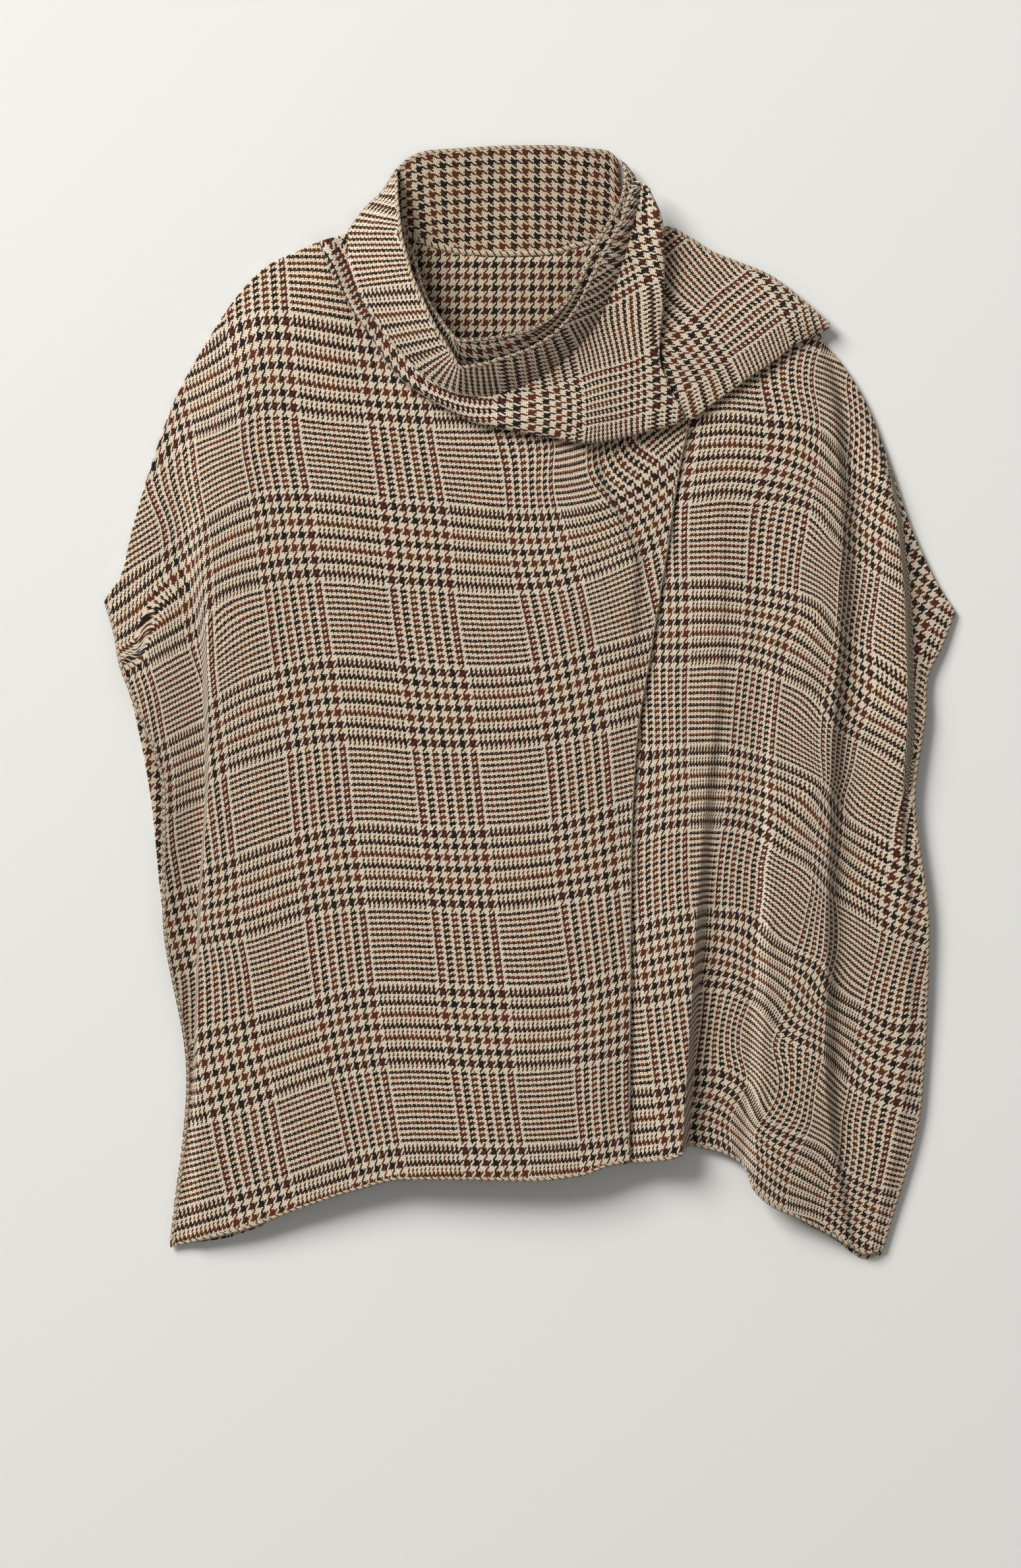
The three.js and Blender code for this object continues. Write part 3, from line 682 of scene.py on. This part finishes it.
    # The painted shade is tinted warm, as painted bounce light between the yarns, so the shade is raised to a
    # power of its own in each colour.
    shades = addNode(tree, "ShaderNodeCombineXYZ", {k: values["shade"] for k in range(3)})
    values["shades"] = shades.outputs[0]
    workOut(tree, values, [
        ("glow", "POWER", "shades", wool["paintedShadeWarmth"]),
        ("colour", "MULTIPLY", "yarn", "glow"),
    ], "ShaderNodeVectorMath")
    relief = {"Height": values["height"], "Distance": weave["crown"], "Strength": wool["bump"]}
    shader = addNode(tree, "ShaderNodeBsdfPrincipled", {
        "Base Color": values["colour"], "Normal": addNode(tree, "ShaderNodeBump", relief).outputs[0],
        "Roughness": wool["roughness"], "Specular IOR Level": wool["specular"],
        "Sheen Weight": wool["sheen"], "Sheen Roughness": wool["sheenRoughness"],
    })
    addNode(tree, "ShaderNodeOutputMaterial", {"Surface": shader.outputs[0]})
    return material


woolOuter = woolMaterial("wool twill, glen check face", wool["faceToneAndPaintedShade"]["check"], checkColour)
# The inner face is darker by painted shade wherever it shows: the back panel, the back of the collar and
# every turned edge.
woolInner = woolMaterial("wool twill, houndstooth face", wool["faceToneAndPaintedShade"]["houndstooth"], houndstoothColour)
print("wool made")


def pieceName(node):
    # The node's words joined, each with a capital.
    return node.title().replace("_", "")


def dress(piece, node, trims):
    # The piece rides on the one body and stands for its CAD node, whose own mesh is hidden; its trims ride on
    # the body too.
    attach(piece, "root")
    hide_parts(node)
    for trim in trims:
        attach(trim, "root")


# Panels.

stations = [0, 0.08, 0.2, 0.32, 0.45, 0.6, 0.8, 1]

# Shoulder, neck and hem edges, x and y in millimetres from image left to image right.
edges = {
    "rightShoulderAndNeck": [
        (-351, 83), (-337, 105), (-329, 139), (-311, 200), (-292, 251), (-270, 291), (-243, 332), (-219, 357),
        (-192, 370), (-174, 377), (-163, 372), (-144, 343), (-123, 308), (-98, 278), (-69, 257), (-36, 243),
        (-4, 235), (34, 230), (77, 236), (130, 238),
    ],
    "rightHem": [
        (-297, -447), (-238, -433), (-196, -417), (-142, -399), (-106, -391), (-58, -391), (-1, -392),
        (38, -388), (66, -379), (79, -377),
    ],
    "leftShoulderAndNeck": [
        (-63, 259), (-36, 256), (-4, 264), (23, 280), (45, 302), (64, 334), (77, 358), (96, 368), (120, 366),
        (158, 354), (194, 342), (215, 327), (234, 307), (241, 293), (249, 284), (265, 262), (278, 237),
        (293, 197), (312, 141), (334, 94), (347, 74),
    ],
    "leftHem": [
        (-39, -364), (23, -374), (78, -377), (109, -375), (122, -371), (129, -364), (141, -366),
        (159, -371), (173, -380), (180, -397), (195, -412), (218, -423), (245, -437), (260, -446),
        (274, -453), (288, -450),
    ],
    "backShoulderAndNeck": [
        (-350, 83), (-336, 105), (-328, 139), (-310, 200), (-291, 251), (-269, 291), (-242, 332),
        (-218, 356), (-192, 369), (-174, 374), (-163, 371), (-140, 382), (-125, 387), (-110, 387),
        (-96, 378), (-77, 371), (-58, 367), (-24, 365), (12, 366), (40, 373), (60, 377), (77, 379),
        (104, 372), (120, 365), (158, 353), (194, 341), (214, 327), (233, 307), (240, 293), (248, 284),
        (264, 262), (277, 237), (292, 197), (311, 141), (333, 94), (346, 74),
    ],
    "backHem": [
        (-297, -445), (-255, -440), (-224, -430), (-196, -414), (-142, -396), (-106, -387), (-24, -386),
        (50, -376), (126, -360), (160, -366), (178, -380), (195, -407), (218, -424), (245, -438),
        (275, -456.5), (287, -453),
    ],
}

flatLine = [cloth / mm] * len(stations)
rightPace = [0, 0.044, 0.1, 0.157, 0.3, 0.48, 0.734, 1]
leftPace = [0, 0.05, 0.107, 0.16, 0.294, 0.494, 0.752, 1]

# A line of a panel: its name, the grid cells to the next line, x and z in millimetres at the stations, and
# for a side line its share of the way down at each of them.
panels = {}
panels["right_front"] = {
    "top": "rightShoulderAndNeck", "hem": "rightHem", "columns": 250, "rows": 190, "rowPower": 1.15,
    "flat": (0.49, 0.82), "area": 0.28, "restsOn": ["back_panel", "left_front"],
    "lines": [
        ("side", 3, [-351, -344, -338, -326, -302, -302, -282, -297],
         [4.4, 6, 10, 14, 15, 14, 9, 5], rightPace),
        ("side foot", 1.5, [-300, -296, -284, -271.5, -269.5, -275, -279, -286],
         [4.4, 8, 9, 7, 5.5, 5.5, 7, 6]),
        ("side ridge", 4, [-278, -276, -270, -266, -264.5, -270.5, -275, -274],
         [4.4, 12, 20, 23, 24, 22, 16, 10]),
        ("shoulder", 4, [-219, -217, -214, -212, -210, -207, -203, -200], [4.4, 17, 22, 24, 24, 24, 22, 18]),
        ("neck point", 5, [-163, -160, -157, -154, -151, -148, -145, -142], [5, 17, 23, 25, 25, 25, 25, 22]),
        ("neck curve", 6, [-98, -97, -95, -94, -93, -92, -91, -90], [17, 21, 24, 25, 25, 26, 27, 27]),
        ("centre", 7, [-15, -15, -16, -18, -20, -22, -25, -28], [21, 22, 24, 25, 25, 26, 28, 29]),
        ("pleat lip", 2, [38, 52, 82, 78, 66, 60, 58, 56], [22, 26, 26, 24, 23, 24, 26, 28]),
        ("pleat foot", 4, [46, 62, 92, 88, 75, 69, 67, 65], [21, 21, 21, 22, 22, 23, 25, 27]),
        ("front edge", 0, [130, 120, 109, 97, 85, 81, 80, 79], [21, 21, 21, 21, 21, 22, 24, 26]),
    ],
}
panels["left_front"] = {
    "top": "leftShoulderAndNeck", "hem": "leftHem", "columns": 250, "rows": 182, "rowPower": 1.15,
    "flat": (0.43, 0.82), "area": 0.268, "restsOn": ["back_panel"],
    "lines": [
        ("inner edge", 5, [-63, -60, -57, -54, -50, -47, -43, -39], [9, 8, 7, 7, 7, 7, 8, 9]),
        ("under the front edge", 5, [60, 90, 104, 97, 88, 81, 80, 79], [11, 14, 15, 16, 16, 17, 19, 21]),
        ("centre fold lip", 2, [150, 152, 154, 154, 152, 140, 131, 122], [4.4, 14, 19, 21, 22, 23, 25, 27]),
        ("centre fold foot", 4, [156, 158, 160, 161, 161, 151, 140, 129], [4.4, 14, 19, 20, 20, 17, 11, 8]),
        ("outer fold foot", 2, [180, 183, 186, 188, 189, 187, 181, 173], [4.4, 14, 19, 20, 20, 17, 11, 8]),
        ("outer fold lip", 6, [186, 189, 192, 195, 197, 197, 191, 181], [4.4, 14, 19, 21, 22, 23, 24, 22]),
        ("arm fold lip", 2, [239, 246, 252, 250, 244, 241, 239, 258], [4.4, 17, 22, 24, 24, 24, 23, 12]),
        ("arm fold foot", 5, [246, 258, 264, 261, 255, 251, 249, 267], [4.4, 8, 10, 11, 12, 12, 11, 8]),
        ("wrist fold lip", 2, [290, 298, 305, 307, 302, 308, 303, 279], [4.4, 15, 19, 20, 17, 14, 12, 7]),
        ("wrist fold foot", 3, [297, 306, 313, 314, 307, 316, 311, 283], [4.4, 8, 10, 11, 11, 11, 9, 6]),
        ("side", 0, [347, 337, 324, 322, 313, 325, 320, 288], [4.4, 6, 8, 10, 11, 10, 7, 5], leftPace),
    ],
}
panels["back_panel"] = {
    "top": "backShoulderAndNeck", "hem": "backHem", "columns": 160, "rows": 120, "rowPower": 1,
    "flat": (0.7, 0.84), "area": 0.466, "restsOn": [],
    "lines": [
        ("right side", 8, [-350, -343, -337, -328, -313, -303, -283, -297], flatLine, rightPace),
        ("right neck point", 4, [-163, -160, -157, -154, -151, -148, -145, -142], flatLine),
        ("seam curve", 4, [-96, -96, -95, -94, -93, -92, -91, -90], flatLine),
        ("centre", 5, [-10] * len(stations), flatLine),
        ("left neck point", 4, [90, 90, 90, 90, 89, 88, 87, 86], flatLine),
        ("outer fold", 7, [180, 183, 186, 188, 189, 187, 181, 177], flatLine),
        ("left side", 0, [346, 336, 323, 321, 312, 324, 319, 287], flatLine, leftPace),
    ],
}


def lineStarts(panel):
    # Each line's place across the panel, in the cells of the lines before it.
    return np.concatenate([[0], np.cumsum([line[1] for line in panel["lines"][:-1]])])


def panelFace(panel, across, down):
    # A point at a share across and a share down: x and the share of the way to the hem mix the two nearest
    # lines, y goes from the top edge to the hem by that share, and z is smooth over all the lines.
    lines, starts = panel["lines"], lineStarts(panel)
    x = np.array([smooth(stations, line[2], down) for line in lines])
    z = np.array([smooth(stations, line[3], down) for line in lines])
    pace = np.array([smooth(stations, line[4] if len(line) > 4 else stations, down) for line in lines])
    at = across * starts[-1]
    i = np.clip(np.searchsorted(starts, at, side="left") - 1, 0, len(lines) - 2)
    f = ((at - starts[i]) / (starts[i + 1] - starts[i]))[:, None]
    edgeY = []
    for edge, station in (("top", 0), ("hem", -1)):
        ends = np.array([line[2][station] for line in lines])
        rim = np.array(edges[panel[edge]], float)
        edgeY.append(smooth(rim[:, 0], rim[:, 1], (1 - f[:, 0]) * ends[i] + f[:, 0] * ends[i + 1])[:, None])
    share = (1 - f) * pace[i] + f * pace[i + 1]
    face = np.stack([
        (1 - f) * x[i] + f * x[i + 1],
        edgeY[0] + (edgeY[1] - edgeY[0]) * share,
        smooth(starts, z, at),
    ], -1) * mm
    return face + [middleShift, 0, 0]


def makePanel(node, outer, inner, threads):
    # A panel's face on an even grid, its rows closer towards the top by the row power, and its wall.
    panel = panels[node]
    across = np.linspace(0, 1, panel["columns"] + 1)
    down = np.linspace(0, 1, panel["rows"] + 1) ** panel["rowPower"]
    face = panelFace(panel, across, down)
    numbers = threads(face, across * lineStarts(panel)[-1], down)
    return face, clothWall(pieceName(node), face, numbers, outer, inner)


def backThreads(face, at, down):
    # The back lies flat, so its threads are evenly spaced in x and y.
    return np.stack([face[..., 0] / weave["warpPitch"], -face[..., 1] / weave["weftPitch"]], -1)


def rightThreads(face, at, down):
    # Two sets of traced threads: the strip outside the side fold gives way to the rest up the fold's flank.
    starts = lineStarts(panels["right_front"])
    strip = threadNumbers(threadLines["right_front_side"], face)
    rest = threadNumbers(threadLines["right_front"], face)
    foldTop, foldEnd, fade = 0.22, 0.84, 0.08  # shares down between which the fold hides threads
    pastFold = ease(at, starts[1], starts[2])[:, None]
    closed = ease(down, foldTop - fade, foldTop) * (1 - ease(down, foldEnd - fade, foldEnd))
    weight = ((1 - pastFold) * closed)[..., None]
    return strip * weight + rest * (1 - weight)


def leftThreads(face, at, down):
    # Three sets of traced threads, each taking over from the last between a fold's lip and its foot.
    starts = lineStarts(panels["left_front"])
    inside = threadNumbers(threadLines["left_front_inside"], face)
    middle = threadNumbers(threadLines["left_front"], face)
    wrist = threadNumbers(threadLines["left_front_wrist"], face)
    wristEnd, wristFade = 0.42, 0.06  # the share down at which the wrist fold runs out into the side
    parting, partingFade = 0.5, 0.1  # the share down at which the centre fold starts to hide threads
    aboveEnd = ease(-down, -wristEnd, -wristEnd + wristFade)[None, :, None]
    pastWrist = ease(at, starts[8], starts[9])[:, None, None] * aboveEnd
    pastCentre = ease(at, starts[2], starts[3])[:, None, None]
    beforeCentre = (1 - pastCentre) * ease(down, parting, parting + partingFade)[None, :, None]
    mixed = inside * beforeCentre + middle * (1 - beforeCentre)
    return mixed * (1 - pastWrist) + wrist * pastWrist


backFace, backPiece = makePanel("back_panel", woolInner, woolOuter, backThreads)
rightFace, rightPiece = makePanel("right_front", woolOuter, woolInner, rightThreads)
leftFace, leftPiece = makePanel("left_front", woolOuter, woolInner, leftThreads)
print("panels made")

# The turned edges of the panels, in metres.
edgeRoll = {"halfWidth": 1.7 * mm, "halfHeight": 1.3 * mm, "sides": 10, "taper": 6 * mm, "inset": 0.9 * mm}
frontRoll = {**edgeRoll, "halfWidth": 0.9 * mm, "halfHeight": 1.1 * mm, "inset": 0.3 * mm}


def edgeOf(name, face, side, size=edgeRoll):
    # The roll lies a little in from the cloth's own rim and half a thickness below its outer face.
    path, inward, normal = edgeRun(face, side)
    middle = path + size["inset"] * unit(inward) - 0.5 * cloth * normal
    return turnedEdge(name, middle, normal, size, woolInner)


rightTrims = [
    edgeOf("rightSideEdge", rightFace, "start"),
    edgeOf("rightHemEdge", rightFace, "foot"),
    edgeOf("rightFrontEdge", rightFace, "end", frontRoll),
]
leftTrims = [
    edgeOf("leftSideEdge", leftFace, "end"),
    edgeOf("leftHemEdge", leftFace, "foot"),
]
panelPieces = {
    "back_panel": (backPiece, []),
    "right_front": (rightPiece, rightTrims),
    "left_front": (leftPiece, leftTrims),
}
for node, (piece, trims) in panelPieces.items():
    dress(piece, node, trims)
print("edges made")

# Collar.

welt = {"halfWidth": 2.7 * mm, "halfHeight": 1.7 * mm, "sides": 10, "taper": 4 * mm, "inset": 2.6 * mm}

# The standing band, the inner collar, the back of the collar and the loose end: points on two long edges in
# millimetres, the rows between them and how far they bow up, the warp and weft that a ribbon starts from, and
# the turned edges. A seam's x stands where an edge follows a panel's neck edge.
collar = {}
collar["collar_wrap"] = {
    "top": [
        (-111, 437, 9), (-111, 419, 20), (-109, 398, 29), (-107, 382, 34), (-103, 366, 37), (-99, 351, 40),
        (-89, 327, 44), (-80, 308, 47), (-72, 294, 48), (-66, 284, 49), (-58, 273, 50), (-43, 275, 50),
        (-29, 279, 50), (-5, 287, 50), (17, 300, 49), (36, 322, 47), (48, 346, 44), (61, 373, 40),
        (72, 392, 37), (80, 417, 33), (84, 426, 30),
    ],
    "foot": [
        (-112, 437, 7), (-122, 420, 8), (-136, 406, 9), (-151, 384, 11), (-151, 366, 15), (-147, 346, 19),
        (-137, 325, 22), (-122, 302, 25), (-108, 286, 27), (-89, 267, 29), (-58, 249, 30), (-40, 250, 30),
        (-24, 253, 30), (0, 262, 30), (26, 280, 30), (48, 303, 30), (63, 330, 30), (76, 366, 30),
        (83, 392, 29), (88, 414, 28), (89, 425, 26),
    ],
    "rows": 24, "bow": 1.5, "trims": [("bandEdge", "top", edgeRoll)],
    "flat": (0.09, 0.45), "area": 0.0150, "restsOn": ["collar_roll", "right_front"],
}
collar["collar_under"] = {
    "top": [
        (70, 446, 9), (76, 436, 14), (75, 419, 19), (68, 402, 24), (58, 385, 28), (49, 368, 31),
        (41, 349, 34), (25, 323, 38), (10, 310, 40), (-5, 303, 41), (-24, 299, 42), (-44, 296, 42),
        (-58, 295, 42), (-67, 301, 40), (-77, 315, 36), (-87, 332, 32), (-92, 347, 28), (-97, 366, 22),
        (-107, 384, 14),
    ],
    "foot": [
        (77, 442, 8.5), (86, 429, 8.5), (91, 408, 8.5), (92, 388, 8.5), None, None, None, None, None, None,
        None, None, None, (-86, 282, 12), (-103, 301, 11), (-113, 325, 10), (-118, 345, 9), (-120, 362, 8),
        (-121, 378, 7.5),
    ],
    "seamX": [86, 79, 72, 58, 44, 24, -4, -36, -61],
    "rows": 24, "bow": 2, "ribbon": (6, 320), "trims": [("innerCollarEdge", "foot", edgeRoll)],
    "flat": (0.09, 0.45), "area": 0.0150, "restsOn": ["left_front", "back_panel"],
}
collar["collar_back"] = {
    "top": [
        (-152, 383, 3), (-137, 405, 3.5), (-122, 420, 4), (-111, 437, 5), (-100, 447, 6), (-86, 452, 7),
        (-58, 454, 7), (-24, 456, 7), (12, 456.5, 7), (46, 454, 7), (62, 452, 6), (70, 445, 5),
    ],
    "seamX": [-163, -144, -127, -110, -97, -80, -58, -24, 12, 40, 60, 75],
    "rows": 24, "bow": 0, "ribbon": (5, 100),
    "trims": [("collarBackEdge", "top", edgeRoll), ("neckSeamWelt", "foot", welt)],
    "flat": (0.24, 0.09), "area": 0.0168, "restsOn": ["back_panel"],
}
collar["scarf_end"] = {
    "top": [
        (96, 384, 13), (111, 390, 11), (128, 382, 10), (147, 370, 9.5), (167, 362, 9), (194, 351, 9),
        (215, 336, 9), (232, 322, 9), (244, 311, 9.5),
    ],
    "foot": [
        (112, 238, 25), (128, 232, 24.5), (147, 245, 24), (163, 256, 23.5), (178, 267, 23), (200, 282, 21),
        (216, 294, 18), (231, 301, 14), (243, 306, 10),
    ],
    "rows": 60, "bow": 4, "trims": [("scarfTopEdge", "top", edgeRoll)],
    "flat": (0.16, 0.15), "area": 0.0135, "restsOn": ["left_front"],
}
railSteps = 8  # steps between two of a rail's given points
backSeamGap = 0.75  # millimetres from the back's neck edge to the collar's foot
rollSeamGap = 0.65  # millimetres from the band's foot to the roll
underSeamShare = 0.006  # share down the left front at which the inner collar is sewn to it


def rail(points, steps=railSteps):
    # A smooth curve through points, sampled at equal shares of its list, so that two curves keep step.
    points = np.array(points, float)
    last = len(points) - 1
    return smooth(np.arange(last + 1), points, np.linspace(0, last, steps * last + 1))


def bandFace(upper, lower, rows, bow):
    # A straight mix of two rails, raised by bow times the sine of pi times the share across.
    share = np.linspace(0, 1, rows + 1)[None, :, None]
    face = upper[:, None] * (1 - share) + lower[:, None] * share
    face[..., 2] += bow * np.sin(np.pi * share[..., 0])
    return face * mm + [middleShift, 0, 0]


def shareAtTop(panel, x):
    # The share across a panel's lines at which its top edge stands at x.
    starts = lineStarts(panel)
    tops = [line[2][0] for line in panel["lines"]]
    return np.interp(x, tops, starts) / starts[-1]


underFeet = []
underSeamX = iter(collar["collar_under"]["seamX"])
for foot in collar["collar_under"]["foot"]:
    if foot is None:
        share = np.array([shareAtTop(panels["left_front"], next(underSeamX))])
        seam = panelFace(panels["left_front"], share, np.array([underSeamShare]))[0, 0] / mm
        foot = (seam[0] - middleShift / mm, seam[1], seam[2] + cloth / mm)
    underFeet.append(foot)
backRim = np.array(edges["backShoulderAndNeck"], float)
backX = np.array(collar["collar_back"]["seamX"], float)
backY = smooth(backRim[:, 0], backRim[:, 1], backX) + backSeamGap
backSeam = np.column_stack([backX, backY, np.full(len(backX), cloth / mm)])

wrapFoot = rail(collar["collar_wrap"]["foot"])
rails = {
    "collar_wrap": (rail(collar["collar_wrap"]["top"]), wrapFoot),
    "collar_under": (rail(underFeet), rail(collar["collar_under"]["top"])),
    "collar_back": (rail(collar["collar_back"]["top"]), rail(backSeam)),
    "scarf_end": (rail(collar["scarf_end"]["top"]), rail(collar["scarf_end"]["foot"])),
}
collarFaces = {
    node: bandFace(upper, lower, collar[node]["rows"], collar[node]["bow"])
    for node, (upper, lower) in rails.items()
}

# The fold that rolls over below the band: its outer edge, and its section as the share of its width,
# millimetres back from the outer edge, height above what it lies on, and share of the foot's height. Feel is
# how far round a point it feels for what it lies on, finer the steps in a row of the section, and seen the
# rows down to the outer edge.
roll = {
    "start": 3,
    "edge": [
        (-174, 377), (-168, 361), (-160, 344), (-147, 321), (-132, 300), (-122, 283), (-107, 264),
        (-70, 240), (-48, 229), (-30, 225), (8, 218), (45, 212), (92, 221), (124, 234), (104, 284),
        (108, 345), (107, 390), (96, 421),
    ],
    # The share of its height that the fold keeps at each of those points: it runs out on the loose end.
    "keeps": [1] * 12 + [0.7, 0.45, 0.45, 0.8, 1, 1],
    "section": [
        (0.25, 0, 8.6, 0.75), (0.5, 0, 10.2, 0.45), (0.75, 0, 10.4, 0.15), (1, 2.2, 8.8, 0), (1, 0.4, 6.6, 0),
        (1, 0, 4.4, 0), (1, 1.2, 1.4, 0), (1, 4, 0, 0), (1, 9, -0.1, 0),
    ],
    "feel": 14, "least": 0.8, "finer": 4, "seen": 4, "trims": [],
    "flat": (0.09, 0.45), "area": 0.0236, "restsOn": ["right_front", "scarf_end"],
}


def rollFace(foot, under):
    # Each section starts at the band's foot and goes square to it, out over the fold and back underneath:
    # its reach is a share of the width less a few millimetres, its height what it lies on plus a lift.
    outer = rail([(*place, 0) for place in roll["edge"]])
    keeps = rail([(share, 0, 0) for share in roll["keeps"]])[:, 0]
    base = np.array([
        under[:, 2][np.hypot(under[:, 0] - x, under[:, 1] - y) < roll["feel"]].max(initial=cloth / mm)
        for x, y, _ in outer
    ])
    reach = 2 * railSteps
    spread = np.array([base[max(k - reach // 2, 0):k + reach // 2 + 1].max() for k in range(len(base))])
    padded = np.pad(spread, reach // 2, mode="edge")
    even = np.convolve(padded, np.ones(reach + 1) / (reach + 1), mode="valid")
    way = (outer - foot)[:, :2]
    width = np.linalg.norm(way, axis=1)
    way = np.column_stack([unit(way), np.zeros(len(way))])
    start = foot + way * rollSeamGap
    rows = [start]
    for share, back, lift, raised in roll["section"]:
        out = np.minimum(np.maximum(share * width - back, roll["least"]), width)
        point = start + way * out[:, None]
        point[:, 2] = even + lift * keeps + raised * np.maximum(start[:, 2] - even - lift * keeps, -lift)
        rows.append(point)
    return rail(rows, roll["finer"]).transpose(1, 0, 2) * mm + [middleShift, 0, 0]


everyThird = rightFace[::3, ::3].reshape(-1, 3)
lyingUnder = np.concatenate([everyThird, collarFaces["scarf_end"].reshape(-1, 3)])
lyingUnder = lyingUnder / mm - [middleShift / mm, 0, 0]
collarFaces["collar_roll"] = rollFace(wrapFoot[railSteps * roll["start"]:], lyingUnder)
collar["collar_roll"] = roll


def rollThreads(face):
    # Traced as far as the fold's outer edge, and from there under it by the distance walked round it.
    seen = roll["finer"] * roll["seen"]
    numbers = threadNumbers(threadLines["collar_roll"], face[:, :seen + 1])
    steps = np.linalg.norm(np.diff(face[:, seen:], axis=1), axis=-1)
    further = np.cumsum(steps, axis=1)[..., None] / [weave["warpPitch"], np.inf]
    return np.concatenate([numbers, numbers[:, -1:] + further], axis=1)


rollNumbers = rollThreads(collarFaces["collar_roll"])
# The band stands on the crease that the roll starts from, so its threads go on from there, upwards.
ahead = roll["start"] * railSteps
creaseWarps = np.concatenate([np.full(ahead, rollNumbers[0, 0, 0]), rollNumbers[:, 0, 0]])
creaseMiddle = len(creaseWarps) // 2
wrapFace = collarFaces["collar_wrap"]
wrapSteps = ribbonThreads(wrapFace, 0, 0)
wrapNumbers = np.stack([
    creaseWarps[:, None] + wrapSteps[..., 0] - wrapSteps[:, -1:, 0],
    wrapSteps[..., 1] + rollNumbers[creaseMiddle - ahead, 0, 1] - wrapSteps[creaseMiddle, 0, 1],
], -1)
collarThreads = {
    "collar_wrap": wrapNumbers,
    "scarf_end": threadNumbers(threadLines["scarf_end"], collarFaces["scarf_end"]),
    "collar_roll": rollNumbers,
}
for node, band in collar.items():
    face = collarFaces[node]
    numbers = ribbonThreads(face, *band["ribbon"]) if "ribbon" in band else collarThreads[node]
    outer, inner = (woolInner, woolOuter) if node == "collar_back" else (woolOuter, woolInner)
    piece = clothWall(pieceName(node), face, numbers, outer, inner)
    trims = [edgeOf(trim, face, side, size) for trim, side, size in band["trims"]]
    dress(piece, node, trims)
print("collar made")

# Floor, light and camera.

floor = {"half": 6, "below": 0.3 * mm, "colour": "EEEDE8", "roughness": 0.85}
floorMesh = bpy.data.meshes.new("floor")
half = floor["half"]
corners = [(x * half, y * half, -floor["below"]) for x, y in ((-1, -1), (1, -1), (1, 1), (-1, 1))]
floorMesh.from_pydata(corners, [], [(0, 1, 2, 3)])
floorPiece = bpy.data.objects.new("floor", floorMesh)
bpy.context.scene.collection.objects.link(floorPiece)
# Matt painted board: an even, pale ground without gloss.
floorMaterial = bpy.data.materials.new("matt painted board")
floorMaterial.use_nodes = True
floorShader = floorMaterial.node_tree.nodes["Principled BSDF"]
floorShader.inputs["Base Color"].default_value = linear(floor["colour"])
floorShader.inputs["Roughness"].default_value = floor["roughness"]
floorMesh.materials.append(floorMaterial)

lights = [
    {"name": "window", "at": (-4.2, 4.2, 4.4), "size": 3.6, "watts": 650},
    {"name": "fill", "at": (2.5, -1.5, 4.5), "size": 4, "watts": 26},
]
for light in lights:  # each is turned to look at the origin
    lamp = bpy.data.lights.new(light["name"], "AREA")
    lamp.size = light["size"]
    lamp.energy = light["watts"]
    made = bpy.data.objects.new(light["name"], lamp)
    made.location = light["at"]
    aim = -np.array(light["at"])
    made.rotation_euler = (np.arctan2(np.hypot(aim[0], aim[1]), -aim[2]), 0, np.arctan2(-aim[0], aim[1]))
    bpy.context.scene.collection.objects.link(made)

studio = {"colour": "F4F4F2", "strength": 0.2}
world = bpy.data.worlds.new("studio")
bpy.context.scene.world = world
world.use_nodes = True
background = world.node_tree.nodes["Background"]
background.inputs["Color"].default_value = linear(studio["colour"])
background.inputs["Strength"].default_value = studio["strength"]
bpy.context.scene.view_settings.view_transform = "Standard"

camera = {"lens": 200, "aimX": -0.016, "aimY": -0.0672, "height": 7.16, "clipEnd": 20}
eye = bpy.data.cameras.new("camera")
eye.lens = camera["lens"]
eye.clip_end = camera["clipEnd"]
eyeObject = bpy.data.objects.new("camera", eye)
eyeObject.location = (camera["aimX"], camera["aimY"], camera["height"])
bpy.context.scene.collection.objects.link(eyeObject)
bpy.context.scene.camera = eyeObject
print("stage, lights and camera made")
